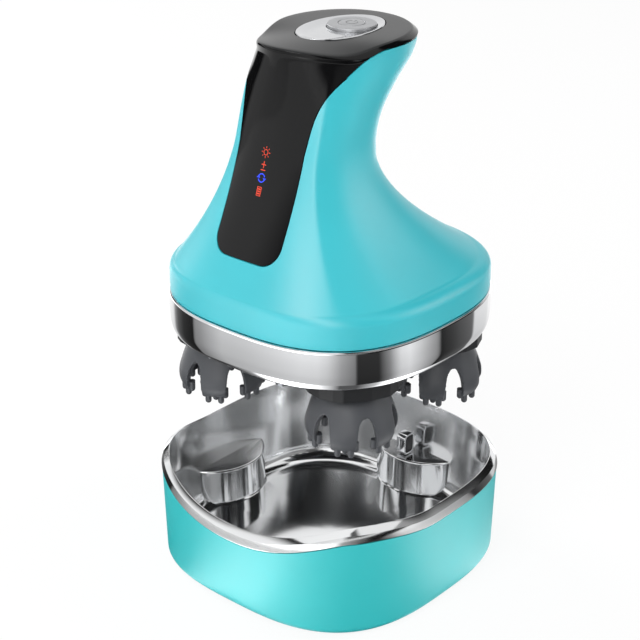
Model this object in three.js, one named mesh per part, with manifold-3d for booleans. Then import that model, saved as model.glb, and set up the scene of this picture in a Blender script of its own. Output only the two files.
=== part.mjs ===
// Four-head scalp massager, lifted over its charging dock.
// Millimetres, +Z up, X to the right, front at -Y, origin at the middle of the dock's footprint.
// Handset heights are counted from the lower edge of its chrome ring.
import * as THREE from 'three';
import { mergeVertices } from 'three/addons/utils/BufferGeometryUtils.js';
import Module from 'manifold-3d';

const wasm = await Module();
wasm.setup();

// Clearance between neighbouring pieces
const gap = 0.3;

// Dock
const dockHeight = 42;
const dockHalf = 57.8;          // half width at the rim
const dockLean = 1;             // the shell leans in from the rim to its foot
const dockPower = 2.9;          // squareness of the dock outline
const dockWall = 1.5;
const dockFillet = 3.5;
const dockFloat = 0.6;          // shell bottom above the table
const baseMargin = 7;           // from the shell's foot in to the base cover
const rimWidth = 2.9;           // from the mouth to the outside of the chrome
const rimDrop = 5.2;            // height of the chrome bevel
const rimDip = 7.5;             // how far the rim dips at the front
const rimDipReach = 46;         // half length of the dip
const rimCorner = 3;            // how far the rim rises at the front corners
const basinWall = 1.2;
const basinTaper = 2.1;         // the basin's wall leans out from its floor to the mouth
const basinFloor = 5.5;         // top of the basin floor
const basinFillet = 7;
const pillarHeight = 20.5;
const pillarHalfChord = 19;
const pillarDepth = 11.5;       // from the wall to the front of the D
const plugThick = 4.2;
const plugLength = 6.6;
const plugHeight = 9;
const plugFrame = 0.9;
const baseThick = 1.8;
const footRadius = 6;
const footSpread = 29;

// Handset casing
const dockTravel = 61.5;        // lift from the docked place to the one shown
const flangeHalf = 53.6;
const flangePower = 2.65;       // squareness of the ring and the band
const ringHeight = 15;
const ringProud = 0.4;          // the ring stands out from the band
const ringLean = 1.2;           // and leans in to its foot
const ringWall = 2.3;
const bandHeight = 12.1;
const gripHeight = 82.05;       // band top to cap top
const capEdge = 3;              // the sections stop changing this far below the top
const shellWall = 2.4;
const neckHalf = 23.5;
const neckBack = 8;
const gripFront = 29.3;         // front of the grip at the cap
const hookReach = 32.5;         // rear tip of the hook
const capHalf = 26.1;
const capShift = 1.55;          // widest line of the cap behind its middle
const capFrontPower = 1.76;     // roundness of the cap's nose
const capBackPower = 2.09;
const capDrop = 4.6;            // dip of the cap's edge at its front corners
const capDropHeight = 17;       // the dip fades out this far down
const panelHalf = 14.4;
const panelCorner = 6.5;
const panelBottom = 36.8;       // lower edge of the black panel
const plateDrop = 5.35;         // bottom plate under the ring
const plateWall = 2;
const plateSlope = 9.2;         // width of the plate's sloping border
const padDrop = 14.55;          // pads that stand on the pillars, under the ring
const padSlack = 0.9;           // pad to the basin's wall
const collarRadius = 17.4;

// Button group
const bezelHalf = 12.5;
const bezelLength = 38;
const bezelThick = 3;
const bezelCentreY = 5;
const buttonRadius = 8.75;
const buttonOffset = 6;         // button centre behind the bezel centre
const buttonTravel = 0.8;
const switchSize = 6;
const switchHeight = 1.4;

// Gear train
const headGearModule = 1.25;
const headTeeth = 20;
const sunTeeth = 44;
const reductionModule = 0.8;
const pinionTeeth = 10;
const wheelTeeth = 30;
const idlerTeeth = 12;
const sunUpperTeeth = 28;
const backlash = 0.24;
const gearWidth = 6;
const smallGearWidth = 4.2;
const deckThick = 2.5;
const postRadius = 3.4;
const spindleRadius = 3;
const bushWall = 1.6;
const headAngle = 39;           // direction of the front right head from +X, degrees
const clawPhase = 28.7;         // direction of the first claw, degrees

// Massage heads
const clawReach = 16.6;
const clawLength = 19.3;        // crown to the edge that carries the nubs
const clawGap = 10.4;           // width of an arch at the claw tips
const archTop = 10.4;           // apex of an arch under the crown
const nubRadius = 1.2;
const nubLength = 2.8;
const crownBore = 5.2;
const hubCore = 4.9;
const hubFlange = 8;

// Drive and power
const motorRadius = 12.2;
const motorHeight = 30.8;
const batteryWidth = 30;
const batteryThick = 10;
const batteryHeight = 36;
const boardThick = 1.6;
const boardWidth = 22;
const boardHeight = 48;
const frameThick = 2;
const screwHead = 2.6;
const screwShank = 1.25;

const tau = Math.PI * 2;
const degree = Math.PI / 180;

// Places that follow from the sizes above
const dockFootHalf = dockHalf - dockLean;
const mouthHalf = dockHalf - rimWidth;
const wallHalf = mouthHalf - basinTaper;
const pillarHalfWall = wallHalf + basinTaper * 0.29;
const pillarFront = pillarHalfWall - pillarDepth;
const plugY = pillarFront + pillarDepth * 0.48;
const padBack = wallHalf - padSlack;
const dockedRing = pillarHeight + gap + padDrop;
const liftedRing = dockedRing + dockTravel;
const ringHalf = flangeHalf + ringProud;
const ringFootHalf = ringHalf - ringLean;
const plateHalf = ringFootHalf - ringWall - gap;
const plateFloorHalf = plateHalf - plateSlope - plateWall - 0.5;
const shellBottom = ringHeight + gap;
const bandTop = ringHeight + bandHeight;
const capTop = bandTop + gripHeight;
const gearDistance = headGearModule * (headTeeth + sunTeeth) / 2;
const idlerDistance = reductionModule * (idlerTeeth + sunUpperTeeth) / 2;
const headX = gearDistance * Math.cos(headAngle * degree);
const headY = gearDistance * Math.sin(headAngle * degree);
const deckBottom = -plateDrop + plateWall + gap;
const deckTop = deckBottom + deckThick;
const gearBottom = deckTop + gap;
const gearTop = gearBottom + gearWidth;
const sunTop = gearTop + 5.8;
const wheelBottom = sunTop + gap + 0.4;
const wheelTop = wheelBottom + smallGearWidth;
const coverBottom = wheelTop + 1;
const coverTop = coverBottom + deckThick;
const motorBottom = coverTop + gap;
const motorTop = motorBottom + motorHeight;
const shelfBottom = motorTop + gap;
const shelfTop = shelfBottom + deckThick;
const batteryBottom = shelfTop + gap;
const batteryTop = batteryBottom + batteryHeight;
const buttonY = bezelCentreY + buttonOffset;
const bezelBottom = capTop - bezelThick;
const screwX = 16.5;
const screwY = flangeHalf - 8.8;
const screwSpots = [[screwX, screwY], [-screwX, screwY], [screwX, -screwY], [-screwX, -screwY]];
const dockScrewSpots = [[34, 0], [0, -34], [-28, 20], [-28, -20]];

// Solids from three.js geometry
function toSolid(geometry) {
  const bare = geometry.clone();
  bare.deleteAttribute('normal');
  bare.deleteAttribute('uv');
  const merged = mergeVertices(bare, 1e-4);
  const kept = [];
  const index = merged.index.array;
  for (let i = 0; i < index.length; i += 3) {
    const [a, b, c] = [index[i], index[i + 1], index[i + 2]];
    if (a !== b && b !== c && a !== c) kept.push(a, b, c);
  }
  const mesh = new wasm.Mesh({
    numProp: 3,
    vertProperties: new Float32Array(merged.attributes.position.array),
    triVerts: new Uint32Array(kept),
  });
  return new wasm.Manifold(mesh);
}

function toGeometry(solid) {
  const mesh = solid.getMesh();
  const geometry = new THREE.BufferGeometry();
  geometry.setAttribute('position', new THREE.BufferAttribute(new Float32Array(mesh.vertProperties), 3));
  geometry.setIndex(new THREE.BufferAttribute(new Uint32Array(mesh.triVerts), 1));
  geometry.computeVertexNormals();
  return geometry;
}

const join = (first, ...others) => others.reduce((all, one) => all.add(one), first);
const cut = (first, ...tools) => tools.reduce((all, one) => all.subtract(one), first);

// A closed body through rings of points, first ring lowest, each counter-clockwise from above
function loft(rings) {
  const count = rings[0].length;
  const points = rings.flat();
  const faces = [];
  for (let r = 0; r + 1 < rings.length; r += 1) {
    for (let i = 0; i < count; i += 1) {
      const a = r * count + i;
      const b = r * count + (i + 1) % count;
      faces.push(a, b, b + count, a, b + count, a + count);
    }
  }
  const addEnd = (ring, start, up) => {
    const centre = ring.reduce((sum, p) => sum.add(p), new THREE.Vector3()).divideScalar(count);
    const tip = points.push(centre) - 1;
    for (let i = 0; i < count; i += 1) {
      const a = start + i;
      const b = start + (i + 1) % count;
      if (up) faces.push(a, b, tip);
      else faces.push(b, a, tip);
    }
  };
  addEnd(rings[0], 0, false);
  addEnd(rings[rings.length - 1], (rings.length - 1) * count, true);
  const geometry = new THREE.BufferGeometry();
  geometry.setAttribute('position', new THREE.BufferAttribute(
    new Float32Array(points.flatMap((p) => [p.x, p.y, p.z])), 3));
  geometry.setIndex(faces);
  return toSolid(geometry);
}

// Rounded-square ring; height may be a number or a function of x and y
function squareRing(half, power, height, count = 36) {
  return Array.from({ length: count }, (_, i) => {
    const angle = (i + 0.5) / count * tau;
    const [c, s] = [Math.cos(angle), Math.sin(angle)];
    const reach = half / (Math.abs(c) ** power + Math.abs(s) ** power) ** (1 / power);
    const [x, y] = [reach * c, reach * s];
    return new THREE.Vector3(x, y, typeof height === 'function' ? height(x, y) : height);
  });
}

const shapeFrom = (points) => new THREE.Shape(points.map(([x, y]) => new THREE.Vector2(x, y)));

// Upright prism of a shape drawn in X and Y
function prism(shape, bottom, top, curveSegments = 10) {
  const options = { depth: top - bottom, bevelEnabled: false, curveSegments };
  const geometry = new THREE.ExtrudeGeometry(shape, options);
  return toSolid(geometry.translate(0, 0, bottom));
}

// Prism along Y of a shape drawn in X and Z
function frontPrism(shape, near, far, curveSegments = 6) {
  const options = { depth: far - near, bevelEnabled: false, curveSegments };
  const geometry = new THREE.ExtrudeGeometry(shape, options);
  return toSolid(geometry.rotateX(Math.PI / 2).translate(0, far, 0));
}

// Prism along X of a shape drawn in Y and Z
function sidePrism(shape, half) {
  const geometry = new THREE.ExtrudeGeometry(shape, { depth: 2 * half, bevelEnabled: false });
  return toSolid(geometry.rotateX(Math.PI / 2).rotateZ(Math.PI / 2).translate(-half, 0, 0));
}

function box(sizeX, sizeY, sizeZ, x, y, bottom) {
  return toSolid(new THREE.BoxGeometry(sizeX, sizeY, sizeZ).translate(x, y, bottom + sizeZ / 2));
}

function rod(radius, bottom, top, x = 0, y = 0, sides = 20) {
  const geometry = new THREE.CylinderGeometry(radius, radius, top - bottom, sides);
  return toSolid(geometry.rotateX(Math.PI / 2).translate(x, y, (top + bottom) / 2));
}

function revolve(profile, sides) {
  const points = profile.map(([r, z]) => new THREE.Vector2(r, z));
  return toSolid(new THREE.LatheGeometry(points, sides).rotateX(Math.PI / 2));
}

function blockShape(width, height, corner) {
  const [w, h, r] = [width / 2, height / 2, corner];
  const shape = new THREE.Shape();
  shape.moveTo(-w + r, -h);
  shape.lineTo(w - r, -h);
  shape.absarc(w - r, -h + r, r, -Math.PI / 2, 0, false);
  shape.lineTo(w, h - r);
  shape.absarc(w - r, h - r, r, 0, Math.PI / 2, false);
  shape.lineTo(-w + r, h);
  shape.absarc(-w + r, h - r, r, Math.PI / 2, Math.PI, false);
  shape.lineTo(-w, -h + r);
  shape.absarc(-w + r, -h + r, r, Math.PI, Math.PI * 1.5, false);
  return shape;
}

const clamp01 = (t) => Math.min(1, Math.max(0, t));
const ease = (t) => t * t * (3 - 2 * t);
const mix = (a, b, t) => a + (b - a) * t;

// Handset outer form: half width, front, back and middle of the section at a height
const edgeDrop = 4.2;
const edgeTurn = 58 * degree;
const shoulderHalf = flangeHalf - 3.7;
const shoulderFront = flangeHalf - 0.4;
const shoulderBack = flangeHalf - 4.1;
const waistHeight = bandTop + gripHeight * 0.581;
const hollowHeight = bandTop + gripHeight * 0.508;
const hookLine = new THREE.SplineCurve([
  [0, 0], [0.24, 0.045], [0.45, 0.2], [0.68, 0.56], [0.83, 0.86], [0.92, 0.97], [1, 1],
].map(([t, s]) => new THREE.Vector2(t, s)));

function hookShare(t) {
  let [low, high] = [0, 1];
  for (let i = 0; i < 24; i += 1) {
    const middle = (low + high) / 2;
    if (hookLine.getPoint(middle).x < t) low = middle;
    else high = middle;
  }
  return hookLine.getPoint((low + high) / 2).y;
}

function bandSection(height) {
  const turn = Math.asin(clamp01((height - bandTop + edgeDrop) / edgeDrop) * Math.sin(edgeTurn));
  const share = (1 - Math.cos(turn)) / (1 - Math.cos(edgeTurn));
  const half = mix(flangeHalf, shoulderHalf, share);
  const front = mix(flangeHalf, shoulderFront, share);
  const back = mix(flangeHalf, shoulderBack, share);
  return { half, front, back, middle: (back - front) / 2, rise: 0 };
}

function section(height) {
  if (height <= bandTop) return bandSection(height);
  const rise = clamp01((height - bandTop) / (gripHeight - capEdge));
  const toWaist = clamp01((height - bandTop) / (waistHeight - bandTop));
  const pastWaist = clamp01((height - waistHeight) / (capTop - waistHeight));
  const toHollow = clamp01((height - bandTop) / (hollowHeight - bandTop));
  const pastHollow = clamp01((height - hollowHeight) / (capTop - capEdge - hollowHeight));
  const half = neckHalf + (shoulderHalf - neckHalf) * (1 - toWaist) ** 1.75
    + (capHalf - neckHalf) * pastWaist ** 2;
  const front = gripFront + (shoulderFront - gripFront) * (1 - rise) ** 1.86;
  const back = neckBack + (shoulderBack - neckBack) * (1 - toHollow) ** 1.63
    + (hookReach - neckBack) * hookShare(pastHollow);
  return { half, front, back, middle: (back - front) / 2 + capShift * rise ** 3, rise };
}

// The cap's edge dips where its nose turns into the sides
function capDip(x, y, height) {
  const nearTop = clamp01((height - capTop + capDropHeight) / capDropHeight);
  const toRear = Math.exp(-Math.max(0, y / gripFront + 0.437) * 3.9);
  return capDrop * (x / capHalf) ** 2 * toRear * nearTop;
}

// Ring of the outer form, moved inward by an inset; the front corners carry a soft crease
function formRing(height, inset, count) {
  const { half, front, back, middle, rise } = section(height);
  const frontPower = mix(flangePower, capFrontPower, rise ** 4.5);
  const backPower = mix(flangePower, capBackPower, rise);
  const creaseHeight = 0.025 * Math.sin(Math.PI * rise);
  return Array.from({ length: count }, (_, i) => {
    const angle = (i + 0.5) / count * tau;
    const [c, s] = [Math.cos(angle), Math.sin(angle)];
    const power = s < 0 ? frontPower : backPower;
    const depth = s < 0 ? middle + front : back - middle;
    const reach = (Math.abs(c) ** power + Math.abs(s) ** power) ** (-1 / power);
    const fromCorner = Math.abs(Math.abs(c) - Math.SQRT1_2) + Math.abs(s + Math.SQRT1_2);
    const swell = reach * (1 + creaseHeight * Math.exp(-((fromCorner / 0.16) ** 2)));
    const x = (half - inset) * c * swell;
    const y = middle + (depth - inset) * s * swell;
    return new THREE.Vector3(x, y, height - capDip(x, y, height));
  });
}

function outerForm() {
  const columns = 36;
  const crownEdge = 1.2;
  const steps = 12;
  const heights = [shellBottom, bandTop - edgeDrop, bandTop - edgeDrop * 0.35, bandTop];
  for (let i = 1; i <= steps; i += 1) heights.push(mix(bandTop, capTop - crownEdge, i / steps));
  const rings = heights.map((h) => formRing(h, 0, columns));
  rings.push(formRing(capTop - crownEdge * 0.3, crownEdge * 0.3, columns));
  [crownEdge, crownEdge * 6, crownEdge * 13].forEach((inset) => rings.push(formRing(capTop, inset, columns)));
  return loft(rings);
}

function innerForm(wall) {
  const heights = [shellBottom - 2, bandTop - edgeDrop];
  const steps = 7;
  for (let i = 1; i <= steps; i += 1) heights.push(mix(bandTop, capTop - wall, i / steps));
  const rings = heights.map((h) => formRing(h, wall, 20));
  rings.push(formRing(capTop - wall, capHalf / 2, 20));
  return loft(rings);
}

// The region of the black front: an upright panel, and the cap's band along both sides
function blackRegion(grow) {
  const bottom = panelBottom - grow;
  const half = panelHalf + grow;
  const flare = [[0, 0.52], [0.4, 0.586], [1.4, 0.697], [2.4, 0.752], [3.9, 0.807], [5.7, 0.862], [6.8, 0.89],
    [9, 0.93], [13, 1.03]];
  const wide = flare.map(([out, share]) => [half + out, mix(panelBottom, capTop, share)]);
  const panel = new THREE.Shape();
  panel.moveTo(-half + panelCorner, bottom);
  panel.lineTo(half - panelCorner, bottom);
  panel.absarc(half - panelCorner, bottom + panelCorner, panelCorner, -Math.PI / 2, 0, false);
  wide.forEach(([x, z]) => panel.lineTo(x, z));
  [...wide].reverse().forEach(([x, z]) => panel.lineTo(-x, z));
  panel.absarc(-half + panelCorner, bottom + panelCorner, panelCorner, Math.PI, Math.PI * 1.5, false);
  const upright = frontPrism(panel, -flangeHalf - 10, -gripFront * 0.55 + grow);
  const edge = [
    [-0.6, -9.7], [-0.5, -7.5], [-0.38, -5.3], [-0.235, -3.2], [-0.14, -2.25], [0, -1.7], [2, -1.8],
  ].map(([share, z]) => [gripFront * share, capTop + z - grow]);
  const band = shapeFrom([...edge, [gripFront * 2, capTop + 5], [-gripFront * 0.6, capTop + 5]]);
  return join(upright, sidePrism(band, capHalf + 10));
}

// The cap's plate inside the teal rim, so that the black cover closes the whole top
function capMouth(inset) {
  const ring = formRing(capTop, shellWall + inset, 20);
  return loft([inset - 4, 4].map((shift) => ring.map((p) => new THREE.Vector3(p.x, p.y, p.z + shift))));
}

const casing = outerForm();
const casingWalls = casing.subtract(innerForm(shellWall));

// Teal shell with the bosses that the base screws bite into
function makeHandleShell() {
  const bosses = screwSpots.map(([x, y]) => {
    const side = Math.sign(y);
    const reach = flangeHalf - shellWall * 0.5;
    const boss = rod(screwHead + 0.4, bossBottom, bandTop - edgeDrop, x, y, 10);
    const rib = box(1.6, reach - Math.abs(y), bandTop - edgeDrop - shellBottom, x,
      side * (reach + Math.abs(y)) / 2, shellBottom);
    const bite = rod(screwShank + 0.15, bossBottom - 1, bossBottom + 7, x, y, 10);
    return cut(join(boss, rib), bite);
  });
  const lipHalf = ringHalf - ringWall - gap;
  const levels = (list) => loft(list.map(([half, h]) => squareRing(half, flangePower, h)));
  const lip = levels([[lipHalf, shellBottom - 3], [lipHalf, shellBottom], [lipHalf + 1, shellBottom],
    [lipHalf + 1, shellBottom + 2]])
    .subtract(levels([[lipHalf - 1.4, shellBottom - 4], [lipHalf - 1.4, shellBottom + 3]]));
  return join(cut(casingWalls, blackRegion(gap), capMouth(0)), lip, ...bosses);
}

function bezelOutline(inset) {
  const shape = new THREE.Shape();
  shape.absellipse(0, bezelCentreY, bezelHalf - inset, bezelLength / 2 - inset, 0, tau, false, 0);
  return shape;
}

// Glossy panel and cap in one moulding, open for the bezel
function makeFrontCover() {
  return casingWalls.intersect(join(blackRegion(0), capMouth(gap)))
    .subtract(prism(bezelOutline(-gap), capTop - 8, capTop + 2, 14));
}

// Silver dish with the button hole and two posts for the switch board
function makeBezel() {
  const plate = prism(bezelOutline(0), bezelBottom, capTop + 0.2, 14);
  const ovalRing = (inset, height) => bezelOutline(inset).getPoints(14).slice(0, -1)
    .map((p) => new THREE.Vector3(p.x, p.y, height));
  const dish = loft([ovalRing(3.4, bezelBottom + 1.3), ovalRing(1, capTop + 0.3), ovalRing(1, capTop + 3)]);
  const hole = rod(buttonRadius + gap, bezelBottom - 2, capTop + 5, 0, buttonY, 28);
  const posts = [-1, 1].map((side) =>
    rod(1, switchBoardTop + gap, bezelBottom + 0.5, side * (bezelHalf - 1.4), buttonY - 2, 8));
  return join(cut(plate, dish, hole), ...posts);
}

const stemBottom = bezelBottom - 2.6;
const switchTop = stemBottom - buttonTravel - 0.1;
const switchBoardTop = switchTop - switchHeight - 0.6;

function makeButton() {
  const skirtTop = bezelBottom - gap;
  return revolve([
    [0, stemBottom], [2, stemBottom], [2, skirtTop - 1.4], [buttonRadius + 1, skirtTop - 1.4],
    [buttonRadius + 1, skirtTop], [buttonRadius, skirtTop], [buttonRadius, capTop + 0.3],
    [buttonRadius - 0.5, capTop + 0.7], [buttonRadius - 1.2, capTop + 0.7],
    [buttonRadius - 1.5, capTop + 0.35],
    [buttonRadius - 1.9, capTop + 0.75], [0, capTop + 1],
  ], 28);
}

function makeTactSwitch() {
  const body = box(switchSize, switchSize, switchHeight - gap, 0, buttonY, switchBoardTop + gap);
  return join(body, rod(1.6, switchBoardTop + 1, switchTop, 0, buttonY, 12));
}

// Chrome ring: nearly upright wall, rounded in at its foot
function makeChromeRing() {
  const leanAt = (share) => mix(ringFootHalf, ringHalf, share);
  const outer = [
    [ringFootHalf - 0.4, 0], [ringFootHalf + 0.1, 0.4], [leanAt(0.55), 2], [leanAt(0.82), 4.4],
    [ringHalf, 9], [ringHalf, ringHeight - 0.4], [ringHalf - 0.4, ringHeight],
  ];
  const innerHalf = ringHalf - ringWall;
  const inner = [[ringFootHalf - ringWall, -1], [innerHalf, ringHeight - 4], [innerHalf, ringHeight + 1]];
  const rings = (list) => loft(list.map(([half, z]) => squareRing(half, flangePower, z)));
  return rings(outer).subtract(rings(inner));
}

// Outline of a pillar's top seen from above, at the +Y wall; wide enough to reach past the wall
function pillarShape(inset, back) {
  const radius = (pillarHalfChord ** 2 + pillarDepth ** 2) / (2 * pillarDepth);
  const centreY = pillarFront + radius;
  const r = radius - inset;
  const turn = Math.asin((Math.min(back, wallHalf) - centreY) / r);
  const shape = new THREE.Shape();
  shape.absarc(0, centreY, r, Math.PI - turn, tau + turn, false);
  shape.lineTo(Math.cos(turn) * r, back);
  shape.lineTo(-Math.cos(turn) * r, back);
  return shape;
}

// A copy of a +Y solid turned to the -X wall
const toLeft = (solid) => solid.rotate([0, 0, 90]);

// Dark bottom plate: shallow dome, a collar over each head, and two pads that stand on the pillars
function makeBottomPlate() {
  const collarHalf = ringFootHalf - 1;
  const underRing = loft([-padDrop, -gap].map((z) => squareRing(collarHalf, flangePower, z)));
  const dome = loft([
    squareRing(plateHalf - plateSlope, flangePower, -plateDrop),
    squareRing(plateHalf - plateSlope * 0.46, flangePower, -plateDrop * 0.6),
    squareRing(plateHalf, flangePower, 0.1),
    squareRing(plateHalf, flangePower, rimTop),
  ]);
  const collars = headSpots.map(([x, y]) =>
    rod(collarRadius, -plateDrop, -gap, x, y, 20).intersect(underRing));
  const pad = prism(pillarShape(0.3, padBack), -padDrop, -gap, 10);
  const columns = screwSpots.map(([x, y]) => rod(screwHead + 1.6, -plateDrop - 1, rimTop + 1, x, y, 14));
  const hollow = loft([
    squareRing(plateFloorHalf, flangePower, -plateDrop + plateWall),
    squareRing(plateFloorHalf + plateSlope * 0.54, flangePower, -plateDrop * 0.6 + plateWall),
    squareRing(plateHalf - plateWall, flangePower, rimTop),
    squareRing(plateHalf - plateWall, flangePower, rimTop + 2),
  ]);
  const notches = headSpots.map(([x, y]) => rod(gearReach + 1, gearBottom - gap, rimTop + 1, x, y, 16));
  const bores = headSpots.map(([x, y]) => rod(sealRadius + gap, -plateDrop - 1, gearBottom, x, y, 12));
  const socket = box(socketX + 2 * gap, socketY + 2 * gap, padDrop + 3, 0, plugY, -padDrop - 1);
  const screws = screwSpots.flatMap(([x, y]) => [
    rod(screwShank + 0.2, -plateDrop - 1, rimTop + 1, x, y, 10),
    rod(screwHead + gap, -plateDrop - 2, screwSeat, x, y, 12)]);
  const walls = join(dome, ...collars, pad, toLeft(pad));
  return cut(walls, cut(hollow, ...columns), ...notches, ...bores, socket, ...screws);
}

const headSpots = [[headX, -headY], [headX, headY], [-headX, headY], [-headX, -headY]];
const sealRadius = spindleRadius + gap + bushWall;
const rimTop = 2.2;
const bossBottom = rimTop + gap;
const gearReach = headGearModule * (headTeeth / 2 + 0.95);
const socketWall = 0.7;
const plugSlack = 0.35;
const socketX = plugThick + 2 * (plugSlack + socketWall);
const socketY = plugLength + 2 * (plugSlack + socketWall);
const screwSeat = -plateDrop + 3.7;

// Socket shell that the dock's plug slides into; open below
function makeChargingSocket() {
  const shell = box(socketX, socketY, padDrop - 3 * gap, 0, plugY, -padDrop + gap);
  const bore = box(plugThick + 2 * plugSlack, plugLength + 2 * plugSlack, plugHeight + 1.2,
    0, plugY, -padDrop - 0.5);
  return cut(shell, bore);
}

function makeSeal(x, y) {
  const ring = rod(sealRadius, -plateDrop + 0.2, -plateDrop + plateWall, x, y, 12);
  return cut(ring, rod(spindleRadius + gap, -plateDrop - 1, 4, x, y, 12));
}

function makeScrew(x, y, seat, length) {
  const top = seat + length;
  const head = rod(screwHead, seat - gap - 1.5, seat - gap, x, y, 10);
  const drive = rod(1, seat - gap - 2, seat - gap - 0.7, x, y, 4);
  return cut(join(head, rod(screwShank, seat - gap - 0.2, top, x, y, 8)), drive);
}

// Involute spur gear outline, a tooth centred on +X; each flank is a chord of its involute
function gearShape(teeth, module, bore) {
  const pitch = teeth * module / 2;
  const base = pitch * Math.cos(20 * degree);
  const root = pitch - 1.2 * module;
  const tip = pitch + 0.95 * module;
  const involute = (radius) => {
    const pressure = Math.acos(Math.min(1, base / radius));
    return Math.tan(pressure) - pressure;
  };
  const halfAt = (radius) => Math.PI / (2 * teeth) - backlash / (2 * pitch)
    + involute(pitch) - involute(Math.max(base, radius));
  const shape = new THREE.Shape();
  for (let i = 0; i < teeth; i += 1) {
    const middle = i / teeth * tau;
    const corners = [[root, -halfAt(root)], [tip, -halfAt(tip)], [tip, halfAt(tip)], [root, halfAt(root)]];
    corners.forEach(([r, a], k) => {
      const [x, y] = [r * Math.cos(middle + a), r * Math.sin(middle + a)];
      if (i + k === 0) shape.moveTo(x, y);
      else shape.lineTo(x, y);
    });
  }
  if (bore > 0) {
    const hole = new THREE.Path();
    hole.absarc(0, 0, bore, 0, tau, true);
    shape.holes.push(hole);
  }
  return shape;
}

const gear = (teeth, module, bore, bottom, top) => prism(gearShape(teeth, module, bore), bottom, top, 8);

// Turn that puts a gap of the driven gear opposite a tooth of the driver, along a direction
function meshTurn(direction, driverTeeth, drivenTeeth, driverTurn = 0) {
  const pitchAngle = tau / driverTeeth;
  const offset = (((direction - driverTurn) % pitchAngle) + pitchAngle) % pitchAngle;
  return direction + Math.PI + offset * driverTeeth / drivenTeeth + Math.PI / drivenTeeth;
}

const sunPin = 3;
const wheelPin = 2;
const idlerDirection = -Math.PI / 2;
const idlerPlace = [0, -idlerDistance];
const idlerTurn = meshTurn(idlerDirection, sunUpperTeeth, idlerTeeth);
const pinionTurn = meshTurn(idlerDirection + Math.PI, wheelTeeth, pinionTeeth, idlerTurn);

// Central gear: large lower gear that drives the heads, smaller upper gear that is driven
function makeSunGear() {
  const bore = sunPin + gap;
  return join(
    gear(sunTeeth, headGearModule, bore, gearBottom, gearTop),
    gear(sunUpperTeeth, reductionModule, bore, gearTop - 0.1, sunTop),
  );
}

function makeIdlerGear() {
  const bore = wheelPin + gap;
  return join(
    gear(idlerTeeth, reductionModule, bore, gearTop + 0.8, wheelBottom + 0.1),
    gear(wheelTeeth, reductionModule, bore, wheelBottom, wheelTop),
  );
}

// Pinion pressed on the motor shaft, one turning piece
function makePinion() {
  return join(
    gear(pinionTeeth, reductionModule, 0, wheelBottom + 0.2, wheelTop + 0.6),
    rod(1.2, wheelTop, motorBottom + 3, 0, 0, 12),
  );
}

// Head gear moulded on its spindle
function makeHeadSpindle() {
  return join(
    gear(headTeeth, headGearModule, 0, gearBottom, gearTop),
    rod(spindleRadius, spindleEnd, gearBottom + 0.1, 0, 0, 12),
    rod(spindleRadius, gearTop - 0.1, gearTop + 1.4, 0, 0, 12),
  );
}

const spindleEnd = -plateDrop - 4.6;

// Gearbox: lower deck with pins and posts, upper deck that carries the motor
function deckOutline(bottom, top) {
  return loft([squareRing(deckHalf, flangePower, bottom), squareRing(deckHalf, flangePower, top)]);
}

const deckHalf = plateFloorHalf - gap;
const postSpots = [[deckHalf - postRadius - 0.6, 0], [0, deckHalf - postRadius - 0.6],
  [-deckHalf + postRadius + 0.6, 0], [0, -deckHalf + postRadius + 0.6]];

function makeGearboxBase() {
  const plate = deckOutline(deckBottom, deckTop);
  const bores = headSpots.map(([x, y]) => rod(spindleRadius + gap, deckBottom - 1, deckTop + 1, x, y, 12));
  const pin = rod(sunPin, deckTop - 0.5, sunTop - 0.6, 0, 0, 16);
  const posts = postSpots.map(([x, y]) => rod(postRadius, deckTop - 0.5, coverBottom - gap, x, y, 12));
  return join(cut(plate, ...bores), ...posts, pin);
}

// Upper deck, with the pin that hangs down for the double gear
function makeGearboxCover() {
  const plate = deckOutline(coverBottom, coverTop);
  const shaftHole = rod(postRadius, coverBottom - 1, coverTop + 1, 0, 0, 12);
  const pin = rod(wheelPin, gearTop + gap, coverBottom + 0.5, idlerPlace[0], idlerPlace[1], 12);
  const skirt = cut(rod(motorRadius + gap + 1.4, coverTop - 0.5, coverTop + 4, 0, 0, 24),
    rod(motorRadius + gap, coverTop - 1, coverTop + 5, 0, 0, 24));
  return join(cut(plate, shaftHole), pin, skirt);
}

function makeMotor() {
  const can = revolve([
    [0, motorBottom], [motorRadius - 0.8, motorBottom], [motorRadius, motorBottom + 0.8],
    [motorRadius, motorTop - 1.6], [motorRadius - 1.6, motorTop], [0, motorTop],
  ], 24);
  return cut(can, rod(1.2 + gap, motorBottom - 1, motorBottom + 4, 0, 0, 12));
}

// Rigid hub that carries the silicone head: core with a retaining flange, bored for the spindle
function makeHub() {
  const top = -plateDrop - gap;
  const core = revolve([
    [0, top - 8.8], [3.4, top - 8.4], [hubFlange, top - 7.6], [hubFlange, top - 6.1], [hubCore, top - 5.8],
    [hubCore, top], [0, top],
  ], 16);
  return cut(core, rod(spindleRadius + gap, spindleEnd - gap, 0, 0, 0, 12));
}

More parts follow.
